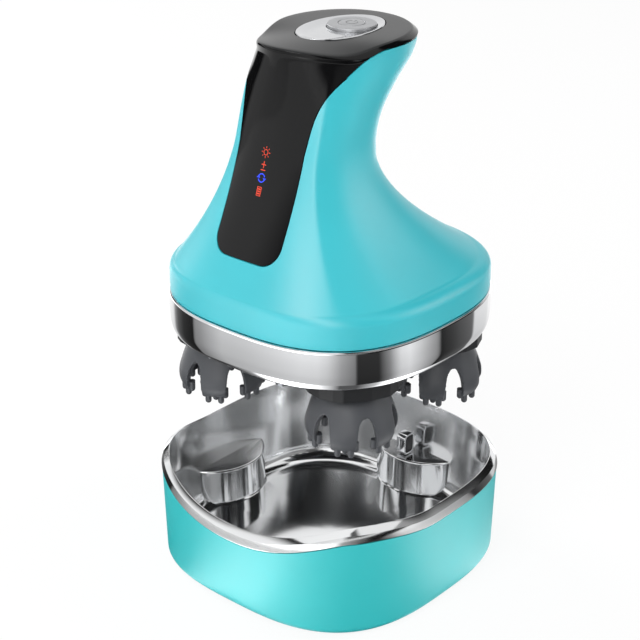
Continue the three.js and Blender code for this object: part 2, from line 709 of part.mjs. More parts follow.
// One silicone head: domed crown cut by four arches into claws, each edged with short nubs
function makeMassageHead() {
  const top = -plateDrop - gap - 0.1;
  const edge = top - clawLength;
  const shell = revolve([
    [crownBore, top], [crownBore, top - 5.2], [9.2, top - 5.9], [clawReach - 4.2, top - 9.4],
    [clawReach - 2.5, top - 15], [clawReach - 3.5, edge],
    [clawReach - 1.2, edge], [clawReach, top - 15.4], [clawReach - 0.9, top - 10.4],
    [14, top - 5.8], [12, top - 2.3], [9.6, top], [crownBore, top],
  ], 20);
  const apex = top - archTop;
  const arch = new THREE.Shape();
  const spread = clawGap / 2;
  arch.moveTo(-spread, edge - 6);
  arch.lineTo(spread, edge - 6);
  [1, 0.5, 0.14].forEach((t) => arch.lineTo(spread * Math.sqrt(t), mix(apex, edge, t)));
  arch.lineTo(0, apex);
  [0.14, 0.5, 1].forEach((t) => arch.lineTo(-spread * Math.sqrt(t), mix(apex, edge, t)));
  const cutter = frontPrism(arch, crownBore, clawReach + 4);
  const cutters = [0, 1, 2, 3].map((k) => cutter.rotate([0, 0, 90 * k + 45 - 90 + clawPhase]));
  const nub = revolve([[0, edge - nubLength], [nubRadius, edge - nubLength + 0.9], [nubRadius, edge + 0.8],
    [0, edge + 0.8]], 5);
  const nubs = [0, 1, 2, 3].flatMap((k) => [-1, -0.5, 0, 0.5, 1].map((side) => {
    const inner = Math.abs(side) === 0.5;
    const reach = clawReach - (inner ? 3 : 2.1);
    const angle = (90 * k + clawPhase) * degree + side * 0.33;
    return nub.translate([reach * Math.cos(angle), reach * Math.sin(angle), 0]);
  }));
  return join(cut(shell, ...cutters), ...nubs);
}

// Upright frame between board and battery, with a foot on the gearbox and a shelf over the motor
const frameFront = motorRadius + 12.7;
const boardFront = frameFront + gap + boardThick;
const boardTopDrop = 6;         // top of the board below the top of the battery

function makeInnerFrame() {
  const footBottom = coverTop + gap;
  const outline = shapeFrom([
    [-frameFront, footBottom], [-frameFront + 6, footBottom], [-frameFront + 6, footBottom + frameThick],
    [-frameFront + frameThick, footBottom + frameThick], [-frameFront + frameThick, shelfBottom],
    [-motorRadius + 3, shelfBottom], [-motorRadius + 3, shelfTop], [-frameFront + frameThick, shelfTop],
    [-frameFront + frameThick, batteryTop], [-frameFront, batteryTop],
  ]);
  return sidePrism(outline, boardWidth / 2 + 0.5);
}

function makeBattery() {
  const y = -frameFront + frameThick + gap + batteryThick / 2;
  return prism(blockShape(batteryWidth, batteryThick, 3), batteryBottom, batteryTop, 3).translate([0, y, 0]);
}

function makeMainBoard() {
  const middle = batteryTop - boardTopDrop - boardHeight / 2;
  return frontPrism(blockShape(boardWidth, boardHeight, 2), 0, boardThick, 3)
    .translate([0, -boardFront, middle]);
}

// Light guide behind the panel: a backing strip and one finger for each indicator
const indicatorHeights = [74.05, 69.05, 65.55, 61.15];

function makeLightGuide() {
  const back = -boardFront - gap;
  const strip = 1.2;
  const finger = 1.3;
  const reachAt = (h) => -section(h).front + shellWall + gap;
  const top = indicatorHeights[0] + 3;
  const bottom = indicatorHeights[3] - 3;
  const outline = [[back, bottom], [back, top], [back - strip, top]];
  indicatorHeights.forEach((h) => outline.push([back - strip, h + finger], [reachAt(h + finger), h + finger],
    [reachAt(h - finger), h - finger], [back - strip, h - finger]));
  outline.push([back - strip, bottom]);
  return sidePrism(shapeFrom(outline.reverse()), 3);
}

function makeSwitchBoard() {
  return prism(blockShape(2 * bezelHalf - 0.6, 12, 1.5), switchBoardTop - 1.2, switchBoardTop, 3)
    .translate([0, buttonY, 0]);
}

// Dock forms
function rimHeight(x, y) {
  const toFront = ease(clamp01((-y - 8) / 30));
  const across = (1 - clamp01(Math.abs(x) / rimDipReach) ** 2) ** 1.3;
  return dockHeight + toFront * (rimCorner - (rimDip + rimCorner) * across);
}

function filletRings(half, power, bottom, radius, steps) {
  return Array.from({ length: steps + 1 }, (_, i) => {
    const angle = i / steps * Math.PI / 2;
    const reach = half - radius + radius * Math.sin(angle);
    return squareRing(reach, power, bottom + radius * (1 - Math.cos(angle)));
  });
}

function dockForm(inset, bottom, top) {
  const rings = filletRings(dockFootHalf - inset, dockPower, bottom, dockFillet - inset * 0.5, 3);
  rings.push(squareRing(dockHalf - 0.2 - inset, dockPower, top));
  rings.push(squareRing(dockHalf - 0.4 - inset - dockWall, dockPower, top));
  return loft(rings);
}

const dockLift = (drop) => (x, y) => rimHeight(x, y) - drop;

// Teal outer shell, open above for the basin and below for the base
function makeDockShell() {
  const outer = dockForm(0, dockFloat, dockLift(rimDrop + gap));
  const inner = dockForm(dockWall, dockFloat + dockWall, dockLift(rimDrop - 3));
  const opening = prism(blockFromRing(baseHalf + gap), dockFloat - 1, dockFloat + dockWall + 1);
  const inlet = frontPrism(blockShape(inletWidth + 2 * gap, inletHeight + 2 * gap, 2),
    dockFootHalf - 6, dockFootHalf + 4, 5)
    .translate([0, 0, inletZ]);
  return cut(outer, inner, opening, inlet);
}

const blockFromRing = (half) => shapeFrom(squareRing(half, dockPower, 0, 32).map((p) => [p.x, p.y]));
const baseHalf = dockFootHalf - baseMargin;
const inletWidth = 10;
const inletHeight = 4.6;
const inletZ = 12.4;

// Chrome basin: bevelled rim over the shell, walls, floor and two hollow D-shaped pillars
function makeBasin() {
  const underRim = mouthHalf + basinWall - basinTaper * 0.22;
  const outer = loft([
    ...filletRings(wallHalf + basinWall, dockPower, basinFloor - 1.6, basinFillet + 0.8, 3),
    squareRing(underRim, dockPower, dockLift(rimDrop)),
    squareRing(dockHalf, dockPower, dockLift(rimDrop)),
    squareRing(dockHalf - rimWidth * 0.45, dockPower, dockLift(rimDrop * 0.42)),
    squareRing(mouthHalf + 0.5, dockPower, dockLift(0.15)),
    squareRing(mouthHalf + 0.2, dockPower, dockLift(0)),
  ]);
  const hollow = loft([
    ...filletRings(wallHalf, dockPower, basinFloor, basinFillet, 3),
    squareRing(mouthHalf, dockPower, dockLift(0.4)),
    squareRing(mouthHalf, dockPower, dockLift(-3)),
  ]);
  const pillar = prism(pillarShape(0, wallHalf + 6), basinFloor - 1, pillarHeight, 12);
  const under = prism(pillarShape(basinWall, wallHalf + 8), basinFloor - 6, pillarHeight - basinWall, 10);
  const slot = box(tailX + 2 * gap, tailY + 2 * gap, 6, 0, plugY, pillarHeight - 4);
  const bossEnd = dockFloat + baseThick + gap;
  const bosses = dockScrewSpots.map(([x, y]) => rod(screwHead + 0.4, bossEnd, basinFloor - 0.8, x, y, 12));
  const bites = dockScrewSpots.map(([x, y]) => rod(screwShank + 0.2, dockFloat, basinFloor - 0.6, x, y, 10));
  const body = cut(outer, cut(hollow, pillar, toLeft(pillar)));
  return cut(join(cut(body, under, toLeft(under)), ...bosses), slot, ...bites);
}

function makeDockBase() {
  const plate = prism(blockFromRing(baseHalf), dockFloat, dockFloat + baseThick);
  const recesses = footSpots.map(([x, y]) => rod(footRadius + gap, 0, dockFloat + 0.6, x, y, 14));
  const screws = dockScrewSpots.flatMap(([x, y]) => [
    rod(screwShank + 0.3, 0, 5, x, y, 10), rod(screwHead + gap, 0, dockScrewSeat, x, y, 12)]);
  return cut(plate, ...recesses, ...screws);
}

const footSpots = [[1, -1], [1, 1], [-1, 1], [-1, -1]].map(([x, y]) => [x * footSpread, y * footSpread]);
const dockScrewSeat = dockFloat + baseThick - 0.6;

function makeFoot() {
  return revolve([[0, 0], [footRadius - 0.6, 0], [footRadius, 0.4], [footRadius, dockFloat + 0.6 - gap],
    [0, dockFloat + 0.6 - gap]], 14);
}

// Charging plug: chrome frame round a black contact block that runs down through the pillar top
function makePlugShell() {
  const outer = sidePrism(plugOutline(0), plugThick / 2);
  const window = sidePrism(plugOutline(plugFrame), plugThick);
  const throat = box(tailX + 2 * gap, tailY + 2 * gap, 2 * plugFrame, 0, plugY, pillarHeight);
  return cut(outer, window, throat);
}

const tailX = plugThick - 1.8;
const tailY = plugLength - 2 * plugFrame - 1;

function plugOutline(inset) {
  const shape = blockShape(plugLength - 2 * inset, plugHeight - 2 * inset, inset > 0 ? 0.7 : 1.4);
  const low = pillarHeight + gap;
  const points = shape.getPoints(3).map((p) => [plugY + p.x, low + plugHeight / 2 + p.y]);
  return shapeFrom(points);
}

function makePlugCore() {
  const slack = 0.15;
  const block = sidePrism(plugOutline(plugFrame + slack), plugThick / 2 - 0.35);
  const tailBottom = basinFloor + 12.8;
  return join(block, box(tailX, tailY, pillarHeight + 2 - tailBottom, 0, plugY, tailBottom));
}

function makeDockBoard() {
  const y = pillarFront + basinWall + 4.2;
  const ceiling = pillarHeight - basinWall;
  const height = ceiling - basinFloor;
  return frontPrism(blockShape(pillarHalfChord * 0.8, height, 1), y, y + boardThick, 2)
    .translate([0, 0, ceiling - 1.3 - height / 2]);
}

function makeInlet() {
  const depth = 6.4;
  const face = dockFootHalf - 0.6;
  const outer = frontPrism(blockShape(inletWidth, inletHeight, 1.9), face - depth, face, 4);
  const wall = 0.7;
  const mouth = blockShape(inletWidth - 2 * wall, inletHeight - 2 * wall, 1.4);
  const bore = frontPrism(mouth, face - depth + 2 * wall, face + 2, 4);
  return cut(outer, bore).translate([0, 0, inletZ]);
}

// Finishes
const finish = (color, roughness, metalness = 0) => ({ color, roughness, metalness });
const teal = finish(0x5dccd7, 0.3);
const dockTeal = finish(0x6fd6d3, 0.38);
const glossBlack = finish(0x0d0d0e, 0.12);
const chrome = finish(0xd8dadc, 0.06, 1);
const silver = finish(0xbfc1c3, 0.3, 0.9);
const darkPlastic = finish(0x222426, 0.45);
const silicone = finish(0x3c3e41, 0.62);
const whitePlastic = finish(0xe6e4dd, 0.5);
const steel = finish(0x9a9ea3, 0.35, 1);
const boardGreen = finish(0x1e5b3a, 0.55);
const cellBlue = finish(0x3a5f9c, 0.45);
const clearPlastic = finish(0xf0f2f2, 0.25);
const rubber = finish(0x2a2a2b, 0.85);

function piece(name, solid, look, place = [0, 0, 0], turn = 0) {
  const mesh = new THREE.Mesh(toGeometry(solid), new THREE.MeshStandardMaterial(look));
  mesh.name = name;
  mesh.position.set(...place);
  mesh.rotation.z = turn;
  return mesh;
}

// Assembly
const massager = new THREE.Group();
const dock = new THREE.Group();
const handset = new THREE.Group();
handset.position.z = liftedRing;
massager.add(dock, handset);

dock.add(
  piece('dock_shell', makeDockShell(), dockTeal),
  piece('dock_basin', makeBasin(), chrome),
  piece('dock_base', makeDockBase(), darkPlastic),
  piece('charging_plug_shell', makePlugShell(), chrome),
  piece('charging_plug_core', makePlugCore(), glossBlack),
  piece('dock_board', makeDockBoard(), boardGreen),
  piece('dock_inlet', makeInlet(), steel),
);
footSpots.forEach(([x, y], i) => dock.add(piece(`dock_foot_${i + 1}`, makeFoot(), rubber, [x, y, 0])));
const dockScrewLength = basinFloor - 0.9 - dockScrewSeat;
dockScrewSpots.forEach(([x, y], i) => dock.add(
  piece(`dock_screw_${i + 1}`, makeScrew(0, 0, dockScrewSeat, dockScrewLength), steel, [x, y, 0])));

handset.add(
  piece('handle_shell', makeHandleShell(), teal),
  piece('front_cover', makeFrontCover(), glossBlack),
  piece('button_bezel', makeBezel(), silver),
  piece('power_button', makeButton(), silver, [0, buttonY, 0]),
  piece('tact_switch', makeTactSwitch(), darkPlastic),
  piece('switch_board', makeSwitchBoard(), boardGreen),
  piece('inner_frame', makeInnerFrame(), whitePlastic),
  piece('battery', makeBattery(), cellBlue),
  piece('main_board', makeMainBoard(), boardGreen),
  piece('light_guide', makeLightGuide(), clearPlastic),
  piece('chrome_ring', makeChromeRing(), chrome),
  piece('bottom_plate', makeBottomPlate(), darkPlastic),
  piece('charging_socket', makeChargingSocket(), steel),
  piece('gearbox_base', makeGearboxBase(), whitePlastic),
  piece('gearbox_cover', makeGearboxCover(), whitePlastic),
  piece('motor', makeMotor(), steel),
  piece('motor_pinion', makePinion(), steel, [0, 0, 0], pinionTurn),
  piece('idler_gear', makeIdlerGear(), whitePlastic, [...idlerPlace, 0], idlerTurn),
  piece('sun_gear', makeSunGear(), whitePlastic),
);
screwSpots.forEach(([x, y], i) => handset.add(
  piece(`base_screw_${i + 1}`, makeScrew(0, 0, screwSeat, 8), steel, [x, y, 0])));

headSpots.forEach(([x, y], i) => {
  const head = new THREE.Group();
  head.position.set(x, y, 0);
  const turn = meshTurn(Math.atan2(y, x), sunTeeth, headTeeth);
  head.add(
    piece(`head_spindle_${i + 1}`, makeHeadSpindle(), whitePlastic, [0, 0, 0], turn),
    piece(`head_hub_${i + 1}`, makeHub(), darkPlastic),
    piece(`massage_head_${i + 1}`, makeMassageHead(), silicone),
  );
  handset.add(head, piece(`head_seal_${i + 1}`, makeSeal(x, y), rubber));
});

export default massager;
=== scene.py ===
import math

import bmesh
import bpy
from mathutils import Matrix, Vector


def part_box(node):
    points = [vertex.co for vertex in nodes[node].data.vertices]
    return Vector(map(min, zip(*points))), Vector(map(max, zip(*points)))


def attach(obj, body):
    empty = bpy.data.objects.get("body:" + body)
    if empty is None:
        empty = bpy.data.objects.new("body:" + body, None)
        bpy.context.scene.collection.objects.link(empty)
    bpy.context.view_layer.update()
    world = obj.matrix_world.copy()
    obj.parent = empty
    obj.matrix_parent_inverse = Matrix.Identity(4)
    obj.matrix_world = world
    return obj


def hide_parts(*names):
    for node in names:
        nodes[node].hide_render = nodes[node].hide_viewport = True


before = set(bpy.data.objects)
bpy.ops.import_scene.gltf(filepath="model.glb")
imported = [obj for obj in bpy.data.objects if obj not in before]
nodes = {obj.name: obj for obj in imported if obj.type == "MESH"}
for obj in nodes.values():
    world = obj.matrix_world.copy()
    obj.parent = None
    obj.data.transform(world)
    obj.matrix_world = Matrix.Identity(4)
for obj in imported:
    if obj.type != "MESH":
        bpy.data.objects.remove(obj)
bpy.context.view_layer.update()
print("frame loaded:", len(nodes), "nodes")

mm = 0.001
lift = 96.85        # height of the chrome ring's lower edge
fullTurn = 2 * math.pi


def clamp(t):
    return min(1.0, max(0.0, t))


def mix(a, b, t):
    return a + (b - a) * t


def ease(t):
    return t * t * (3 - 2 * t)


def curveThrough(points, count):
    # Catmull-Rom through the points, evenly spaced in their parameter
    out = []
    last = len(points) - 1
    for i in range(count):
        t = i / (count - 1) * last
        k = min(int(t), last - 1)
        u = t - k
        p1, p2 = points[k], points[k + 1]
        p0 = points[k - 1] if k > 0 else tuple(2 * a - b for a, b in zip(p1, p2))
        p3 = points[k + 2] if k + 2 <= last else tuple(2 * b - a for a, b in zip(p1, p2))
        out.append(tuple(0.5 * (2 * b + (c - a) * u + (2 * a - 5 * b + 4 * c - d) * u * u
                                + (3 * b - a - 3 * c + d) * u ** 3)
                         for a, b, c, d in zip(p0, p1, p2, p3)))
    return out


def lookUp(points, t):
    # straight reading of a table of (place, value)
    for (a, va), (b, vb) in zip(points, points[1:]):
        if t <= b:
            return mix(va, vb, clamp((t - a) / (b - a)))
    return points[-1][1]


# Meshes

def newObject(name, mesh):
    obj = bpy.data.objects.new(name.replace(" ", "_"), mesh)
    bpy.context.scene.collection.objects.link(obj)
    return obj


def fromPoints(name, verts, faces):
    mesh = bpy.data.meshes.new(name)
    mesh.from_pydata(verts, [], faces)
    return newObject(name, mesh)


def fromBmesh(name, bm):
    mesh = bpy.data.meshes.new(name)
    bm.to_mesh(mesh)
    bm.free()
    return newObject(name, mesh)


def loft(name, rings, rise=0.0):
    # closed body through rings of (x, y, z) in mm, the lowest ring first
    count = len(rings[0])
    verts = [Vector(p) * mm + Vector((0, 0, rise * mm)) for ring in rings for p in ring]
    faces = []
    for r in range(len(rings) - 1):
        for i in range(count):
            a = r * count + i
            b = r * count + (i + 1) % count
            faces.append((a, b, b + count, a + count))
    for start, up in ((0, False), ((len(rings) - 1) * count, True)):
        tip = len(verts)
        verts.append(sum((verts[start + i] for i in range(count)), Vector()) / count)
        for i in range(count):
            a = start + i
            b = start + (i + 1) % count
            faces.append((a, b, tip) if up else (b, a, tip))
    return fromPoints(name, verts, faces)


def lathe(name, profile, sides, x=0.0, y=0.0, rise=0.0):
    # profile of (radius, height) in mm, from the axis back to the axis, or closed on itself
    loop = profile[0] == profile[-1]
    if loop:
        profile = profile[:-1]
    bm = bmesh.new()
    turns = [i / sides * fullTurn for i in range(sides)]
    columns = []
    for r, z in profile:
        onAxis = r < 1e-6
        ring = [(x, y)] if onAxis else [(x + r * math.cos(a), y + r * math.sin(a)) for a in turns]
        columns.append([bm.verts.new((u * mm, v * mm, (z + rise) * mm)) for u, v in ring])
    pairs = list(zip(columns, columns[1:])) + ([(columns[-1], columns[0])] if loop else [])
    for low, high in pairs:
        for i in range(sides):
            j = (i + 1) % sides
            corner = [low[i % len(low)], low[j % len(low)], high[j % len(high)], high[i % len(high)]]
            seen = []
            for v in corner:
                if v not in seen:
                    seen.append(v)
            if len(seen) > 2:
                bm.faces.new(seen)
    bmesh.ops.recalc_face_normals(bm, faces=bm.faces)
    return fromBmesh(name, bm)


def prism(name, outline, along, near, far, rise=0.0):
    # outline of two coordinates in mm; along x it holds (y, z), along y (x, z), along z (x, y)
    place = {
        "x": lambda a, b, c: (c, a, b + rise),
        "y": lambda a, b, c: (a, c, b + rise),
        "z": lambda a, b, c: (a, b, c + rise),
    }[along]
    count = len(outline)
    verts = [Vector(place(a, b, c)) * mm for c in (near, far) for a, b in outline]
    faces = [tuple(range(count))[::-1], tuple(range(count, 2 * count))]
    faces += [(i, (i + 1) % count, (i + 1) % count + count, i + count) for i in range(count)]
    obj = fromPoints(name, verts, faces)
    bm = bmesh.new()
    bm.from_mesh(obj.data)
    bmesh.ops.recalc_face_normals(bm, faces=bm.faces)
    bm.to_mesh(obj.data)
    bm.free()
    return obj


def bake(obj):
    # the evaluated shape becomes the object's own plain mesh
    bpy.context.view_layer.update()
    seen = obj.evaluated_get(bpy.context.evaluated_depsgraph_get())
    mesh = bpy.data.meshes.new_from_object(seen)
    obj.modifiers.clear()
    old = obj.data
    obj.data = mesh
    bpy.data.meshes.remove(old)
    return obj


def carve(obj, tool, operation="DIFFERENCE"):
    # boolean of the two bodies; the tool is used up
    step = obj.modifiers.new("carve", "BOOLEAN")
    step.operation = operation
    step.solver = "EXACT"
    step.object = tool
    bake(obj)
    bpy.data.objects.remove(tool)
    return obj


def smooth(obj, degrees=32):
    obj.data.polygons.foreach_set("use_smooth", [True] * len(obj.data.polygons))
    obj.data.set_sharp_from_angle(angle=math.radians(degrees))
    return obj


def joined(name, parts):
    bm = bmesh.new()
    for part in parts:
        bm.from_mesh(part.data)
        bpy.data.objects.remove(part)
    return fromBmesh(name, bm)


def squareRing(half, power, height, count):
    ring = []
    for i in range(count):
        angle = (i + 0.5) / count * fullTurn
        c, s = math.cos(angle), math.sin(angle)
        reach = half / (abs(c) ** power + abs(s) ** power) ** (1 / power)
        x, y = reach * c, reach * s
        ring.append((x, y, height(x, y) if callable(height) else height))
    return ring


def roundedBox(middle, half, corner, steps=8):
    # outline of a rectangle with round corners, from its middle and half sizes
    points = []
    for sx, sy, start in ((1, -1, -90), (1, 1, 0), (-1, 1, 90), (-1, -1, 180)):
        for i in range(steps + 1):
            t = math.radians(start + i / steps * 90)
            points.append((middle[0] + sx * (half[0] - corner) + corner * math.cos(t),
                           middle[1] + sy * (half[1] - corner) + corner * math.sin(t)))
    return points


# Materials

def toLinear(value):
    value /= 255
    return value / 12.92 if value <= 0.04045 else ((value + 0.055) / 1.055) ** 2.4


grainOf = {
    "cloudScale": 38.0,        # slow changes of tone and polish
    "cloudDetail": 3.0,
    "toneSpread": 0.25,
    "fineDetail": 2.0,
    "bumpHeight": 0.0002,
}


def paint(name, color, roughness, metallic=0.0, grain=900.0, grainDepth=0.02, shift=0.03, roughShift=0.05,
          glow=None, specular=0.5, stretch=(1, 1, 1)):
    material = bpy.data.materials.new(name)
    material.use_nodes = True
    tree = material.node_tree
    add, link = tree.nodes.new, tree.links.new
    shader = tree.nodes["Principled BSDF"]
    shader.inputs["Metallic"].default_value = metallic
    shader.inputs["Specular IOR Level"].default_value = specular
    place = add("ShaderNodeTexCoord")
    mapping = add("ShaderNodeMapping")
    mapping.inputs["Scale"].default_value = stretch
    link(place.outputs["Object"], mapping.inputs["Vector"])
    clouds = add("ShaderNodeTexNoise")
    clouds.inputs["Scale"].default_value = grainOf["cloudScale"]
    clouds.inputs["Detail"].default_value = grainOf["cloudDetail"]
    link(mapping.outputs["Vector"], clouds.inputs["Vector"])
    tone = add("ShaderNodeValToRGB")
    base = [toLinear(c) for c in color]
    for element, side in zip(tone.color_ramp.elements, (-1, 1)):
        element.position = 0.5 + grainOf["toneSpread"] * side
        element.color = [clamp(c * (1 + shift * side)) for c in base] + [1]
    link(clouds.outputs["Fac"], tone.inputs["Fac"])
    link(tone.outputs["Color"], shader.inputs["Base Color"])
    dull = add("ShaderNodeMapRange")
    dull.inputs["To Min"].default_value = roughness * (1 - roughShift)
    dull.inputs["To Max"].default_value = roughness * (1 + roughShift)
    link(clouds.outputs["Fac"], dull.inputs["Value"])
    link(dull.outputs["Result"], shader.inputs["Roughness"])
    fine = add("ShaderNodeTexNoise")
    fine.inputs["Scale"].default_value = grain
    fine.inputs["Detail"].default_value = grainOf["fineDetail"]
    link(mapping.outputs["Vector"], fine.inputs["Vector"])
    bump = add("ShaderNodeBump")
    bump.inputs["Strength"].default_value = grainDepth
    bump.inputs["Distance"].default_value = grainOf["bumpHeight"]
    link(fine.outputs["Fac"], bump.inputs["Height"])
    link(bump.outputs["Normal"], shader.inputs["Normal"])
    if glow:
        shader.inputs["Emission Color"].default_value = base + [1]
        shader.inputs["Emission Strength"].default_value = glow
    return material


def finish(obj, *materials):
    obj.data.materials.clear()
    for material in materials:
        obj.data.materials.append(material)


tealPlastic = paint("teal handle plastic", (25, 175, 187), 0.4, specular=1.0, grain=420, grainDepth=0.015)
tealDock = paint("teal dock plastic", (26, 177, 180), 0.42, specular=0.7, grain=520, grainDepth=0.03)
blackGloss = paint("black panel plastic", (9, 9, 10), 0.08, specular=0.3, grain=300, grainDepth=0.006)
blackSatin = paint("black cap plastic", (28, 29, 30), 0.3, specular=0.3, grain=1500, grainDepth=0.05)
chromePlate = paint("chrome plating", (226, 227, 229), 0.045, metallic=1.0, grain=260, grainDepth=0.01,
                    shift=0.01)
basinChrome = paint("basin chrome", (236, 237, 238), 0.09, metallic=1.0, grain=260, grainDepth=0.01,
                    shift=0.01, roughShift=0.2)
basinSatin = paint("basin satin chrome", (230, 231, 232), 0.15, metallic=1.0, grain=260, grainDepth=0.01,
                   shift=0.01, roughShift=0.2)
brightSilver = paint("bright silver", (206, 207, 209), 0.14, metallic=1.0, grain=900, grainDepth=0.03)
satinSilver = paint("satin silver", (178, 179, 181), 0.45, metallic=1.0, grain=1400, grainDepth=0.06,
                    stretch=(1, 0.06, 1))
darkPlate = paint("dark base plastic", (27, 28, 30), 0.48, specular=0.3, grain=1300, grainDepth=0.12)
clawSilicone = paint("dark claw silicone", (64, 66, 70), 0.45, specular=0.4, grain=1800, grainDepth=0.08,
                     shift=0.05)
softRubber = paint("black rubber", (36, 36, 37), 0.8, grain=1600, grainDepth=0.2)
gearPlastic = paint("natural gear plastic", (228, 226, 219), 0.42, grain=800, grainDepth=0.05)
boardGreen = paint("green circuit board", (32, 92, 60), 0.4, grain=700, grainDepth=0.1, shift=0.12)
cellWrap = paint("cell shrink wrap", (58, 96, 156), 0.35, grain=600, grainDepth=0.05)
guidePlastic = paint("clear light guide", (238, 240, 240), 0.2, grain=500, grainDepth=0.02)
platedSteel = paint("plated steel", (168, 171, 176), 0.3, metallic=1.0, grain=1200, grainDepth=0.08)
lightRed = paint("lit red mark", (206, 56, 30), 0.4, glow=0.35, grain=400)
lightBlue = paint("lit blue mark", (30, 60, 224), 0.4, glow=0.5, grain=400)
markGrey = paint("grey symbol print", (112, 113, 115), 0.45, metallic=1.0, grain=800)
print("materials made")


# Handle form

handle = {
    "bandTop": 27.1,       # all heights from the ring's lower edge
    "shellBottom": 15.3,
    "capTop": 109.15,
    "gripHeight": 82.05,
    "capEdge": 3.0,
    "footEdge": 0.5,
    "edgeDrop": 4.2,
    "edgeTurn": math.radians(58),
    "flangeHalf": 53.6,
    "flangePower": 2.65,
    "shoulder": (49.9, 53.2, 49.5),    # half width, front, back above the soft edge
    "bends": (1.75, 1.86, 1.63),       # how fast the sides, front and rear leave the shoulder
    "waist": 0.581,        # height of the narrowest sides, as a share of the grip
    "hollow": 0.508,       # height of the deepest rear hollow, as a share of the grip
    "neckHalf": 23.5,
    "neckBack": 8.0,
    "gripFront": 29.3,
    "hookReach": 32.5,
    "capHalf": 26.1,
    "capShift": 1.55,      # widest line of the cap behind its middle
    "capPowers": (1.76, 2.09),
    "noseTurn": 4.5,       # how late the plan's front takes the cap's form
    "capDrop": 5.3,        # dip of the cap's edge at its front corners
    "dropHeight": 17.0,
    "dropLine": -9.3,      # where the dip ends toward the rear, and how softly
    "dropSoftness": 3.6,
    "crease": 0.034,
    "creaseWidth": 0.13,
    "creaseTip": 0.015,
    "noseEdge": ((1.0, 0), (0.62, 0.06), (0.3, 0.25), (0.1, 0.55), (0, 1.0)),    # drop and inset
    "sideEdge": ((1.74, 0), (1.5, 0.2), (1.0, 0.85), (0.42, 1.65), (0.02, 2.3)),
    "edgeChange": (-20, -4),           # the nose's edge turns into the sides' edge between these
    "topInsets": (2.5, 5, 8, 11, 14, 17, 20),
    "wall": 2.4,
    "seam": 0.3,
    "columns": 200,
    "rows": 104,
    "hollowColumns": 64,
    "hollowRows": 24,
}
hookShape = ((0, 0), (0.24, 0.045), (0.45, 0.2), (0.68, 0.56), (0.83, 0.86), (0.92, 0.97), (1, 1))
hookLine = curveThrough(hookShape, 121)


def section(h):
    # half width, front, back, middle and rise of the handle at a height
    p = handle
    if h <= p["bandTop"]:
        upEdge = clamp((h - p["bandTop"] + p["edgeDrop"]) / p["edgeDrop"])
        turn = math.asin(upEdge * math.sin(p["edgeTurn"]))
        share = (1 - math.cos(turn)) / (1 - math.cos(p["edgeTurn"]))
        half, front, back = (mix(p["flangeHalf"], v, share) for v in p["shoulder"])
        return half, front, back, (back - front) / 2, 0.0
    sideBend, frontBend, backBend = p["bends"]
    above = h - p["bandTop"]
    rise = clamp(above / (p["gripHeight"] - p["capEdge"]))
    waist = p["waist"] * p["gripHeight"]
    hollow = p["hollow"] * p["gripHeight"]
    toWaist = clamp(above / waist)
    pastWaist = clamp((above - waist) / (p["gripHeight"] - waist))
    toHollow = clamp(above / hollow)
    pastHollow = clamp((above - hollow) / (p["gripHeight"] - p["capEdge"] - hollow))
    half = (p["neckHalf"] + (p["shoulder"][0] - p["neckHalf"]) * (1 - toWaist) ** sideBend
            + (p["capHalf"] - p["neckHalf"]) * pastWaist ** 2)
    front = p["gripFront"] + (p["shoulder"][1] - p["gripFront"]) * (1 - rise) ** frontBend
    back = (p["neckBack"] + (p["shoulder"][2] - p["neckBack"]) * (1 - toHollow) ** backBend
            + (p["hookReach"] - p["neckBack"]) * lookUp(hookLine, pastHollow))
    return half, front, back, (back - front) / 2 + p["capShift"] * rise ** 3, rise


def powersAt(rise):
    flange, (nose, rear) = handle["flangePower"], handle["capPowers"]
    return mix(flange, nose, rise ** handle["noseTurn"]), mix(flange, rear, rise)


def capDip(x, y, h):
    # the cap's edge dips where its nose turns into the sides
    p = handle
    nearTop = ease(clamp((h - p["capTop"] + p["dropHeight"]) / p["dropHeight"]))
    behind = 1 + math.exp((y - p["dropLine"]) / p["dropSoftness"])
    return p["capDrop"] * (x / p["capHalf"]) ** 2 * nearTop / behind


def formRing(h, inset, count):
    p = handle
    half, front, back, middle, rise = section(h)
    frontPower, backPower = powersAt(rise)
    creaseHeight = p["crease"] * math.sin(math.pi * rise) ** 0.6 if rise < 1 else 0
    ring = []
    for i in range(count):
        angle = (i + 0.5) / count * fullTurn
        c, s = math.cos(angle), math.sin(angle)
        power = frontPower if s < 0 else backPower
        depth = middle + front if s < 0 else back - middle
        reach = (abs(c) ** power + abs(s) ** power) ** (-1 / power)
        corner = math.hypot(abs(c) - math.sqrt(0.5), s + math.sqrt(0.5))
        reach *= 1 + creaseHeight * math.exp(-math.hypot(corner, p["creaseTip"]) / p["creaseWidth"])
        x, y = (half - inset) * c * reach, middle + (depth - inset) * s * reach
        ring.append((x, y, h - capDip(x, y, h)))
    return ring


def frontFace(x, h):
    # y of the front surface at a place on the panel
    half, front, _, middle, rise = section(h)
    power = powersAt(rise)[0]
    return middle - (middle + front) * (1 - abs(x / half) ** power) ** (1 / power)


def capEdgeRing(small, large):
    # one step of the cap's edge: a small round at the nose, a wider slope at the sides and rear
    p = handle
    reach = 3              # inset of the inner ring that the steps lean toward
    start, end = p["edgeChange"]
    ring = []
    for (x, y, _), (xIn, yIn, _) in zip(formRing(p["capTop"], 0, p["columns"]),
                                        formRing(p["capTop"], reach, p["columns"])):
        share = ease(clamp((y - start) / (end - start)))
        drop, inset = mix(small[0], large[0], share), mix(small[1], large[1], share) / reach
        x, y = mix(x, xIn, inset), mix(y, yIn, inset)
        ring.append((x, y, p["capTop"] - drop - capDip(x, y, p["capTop"])))
    return ring


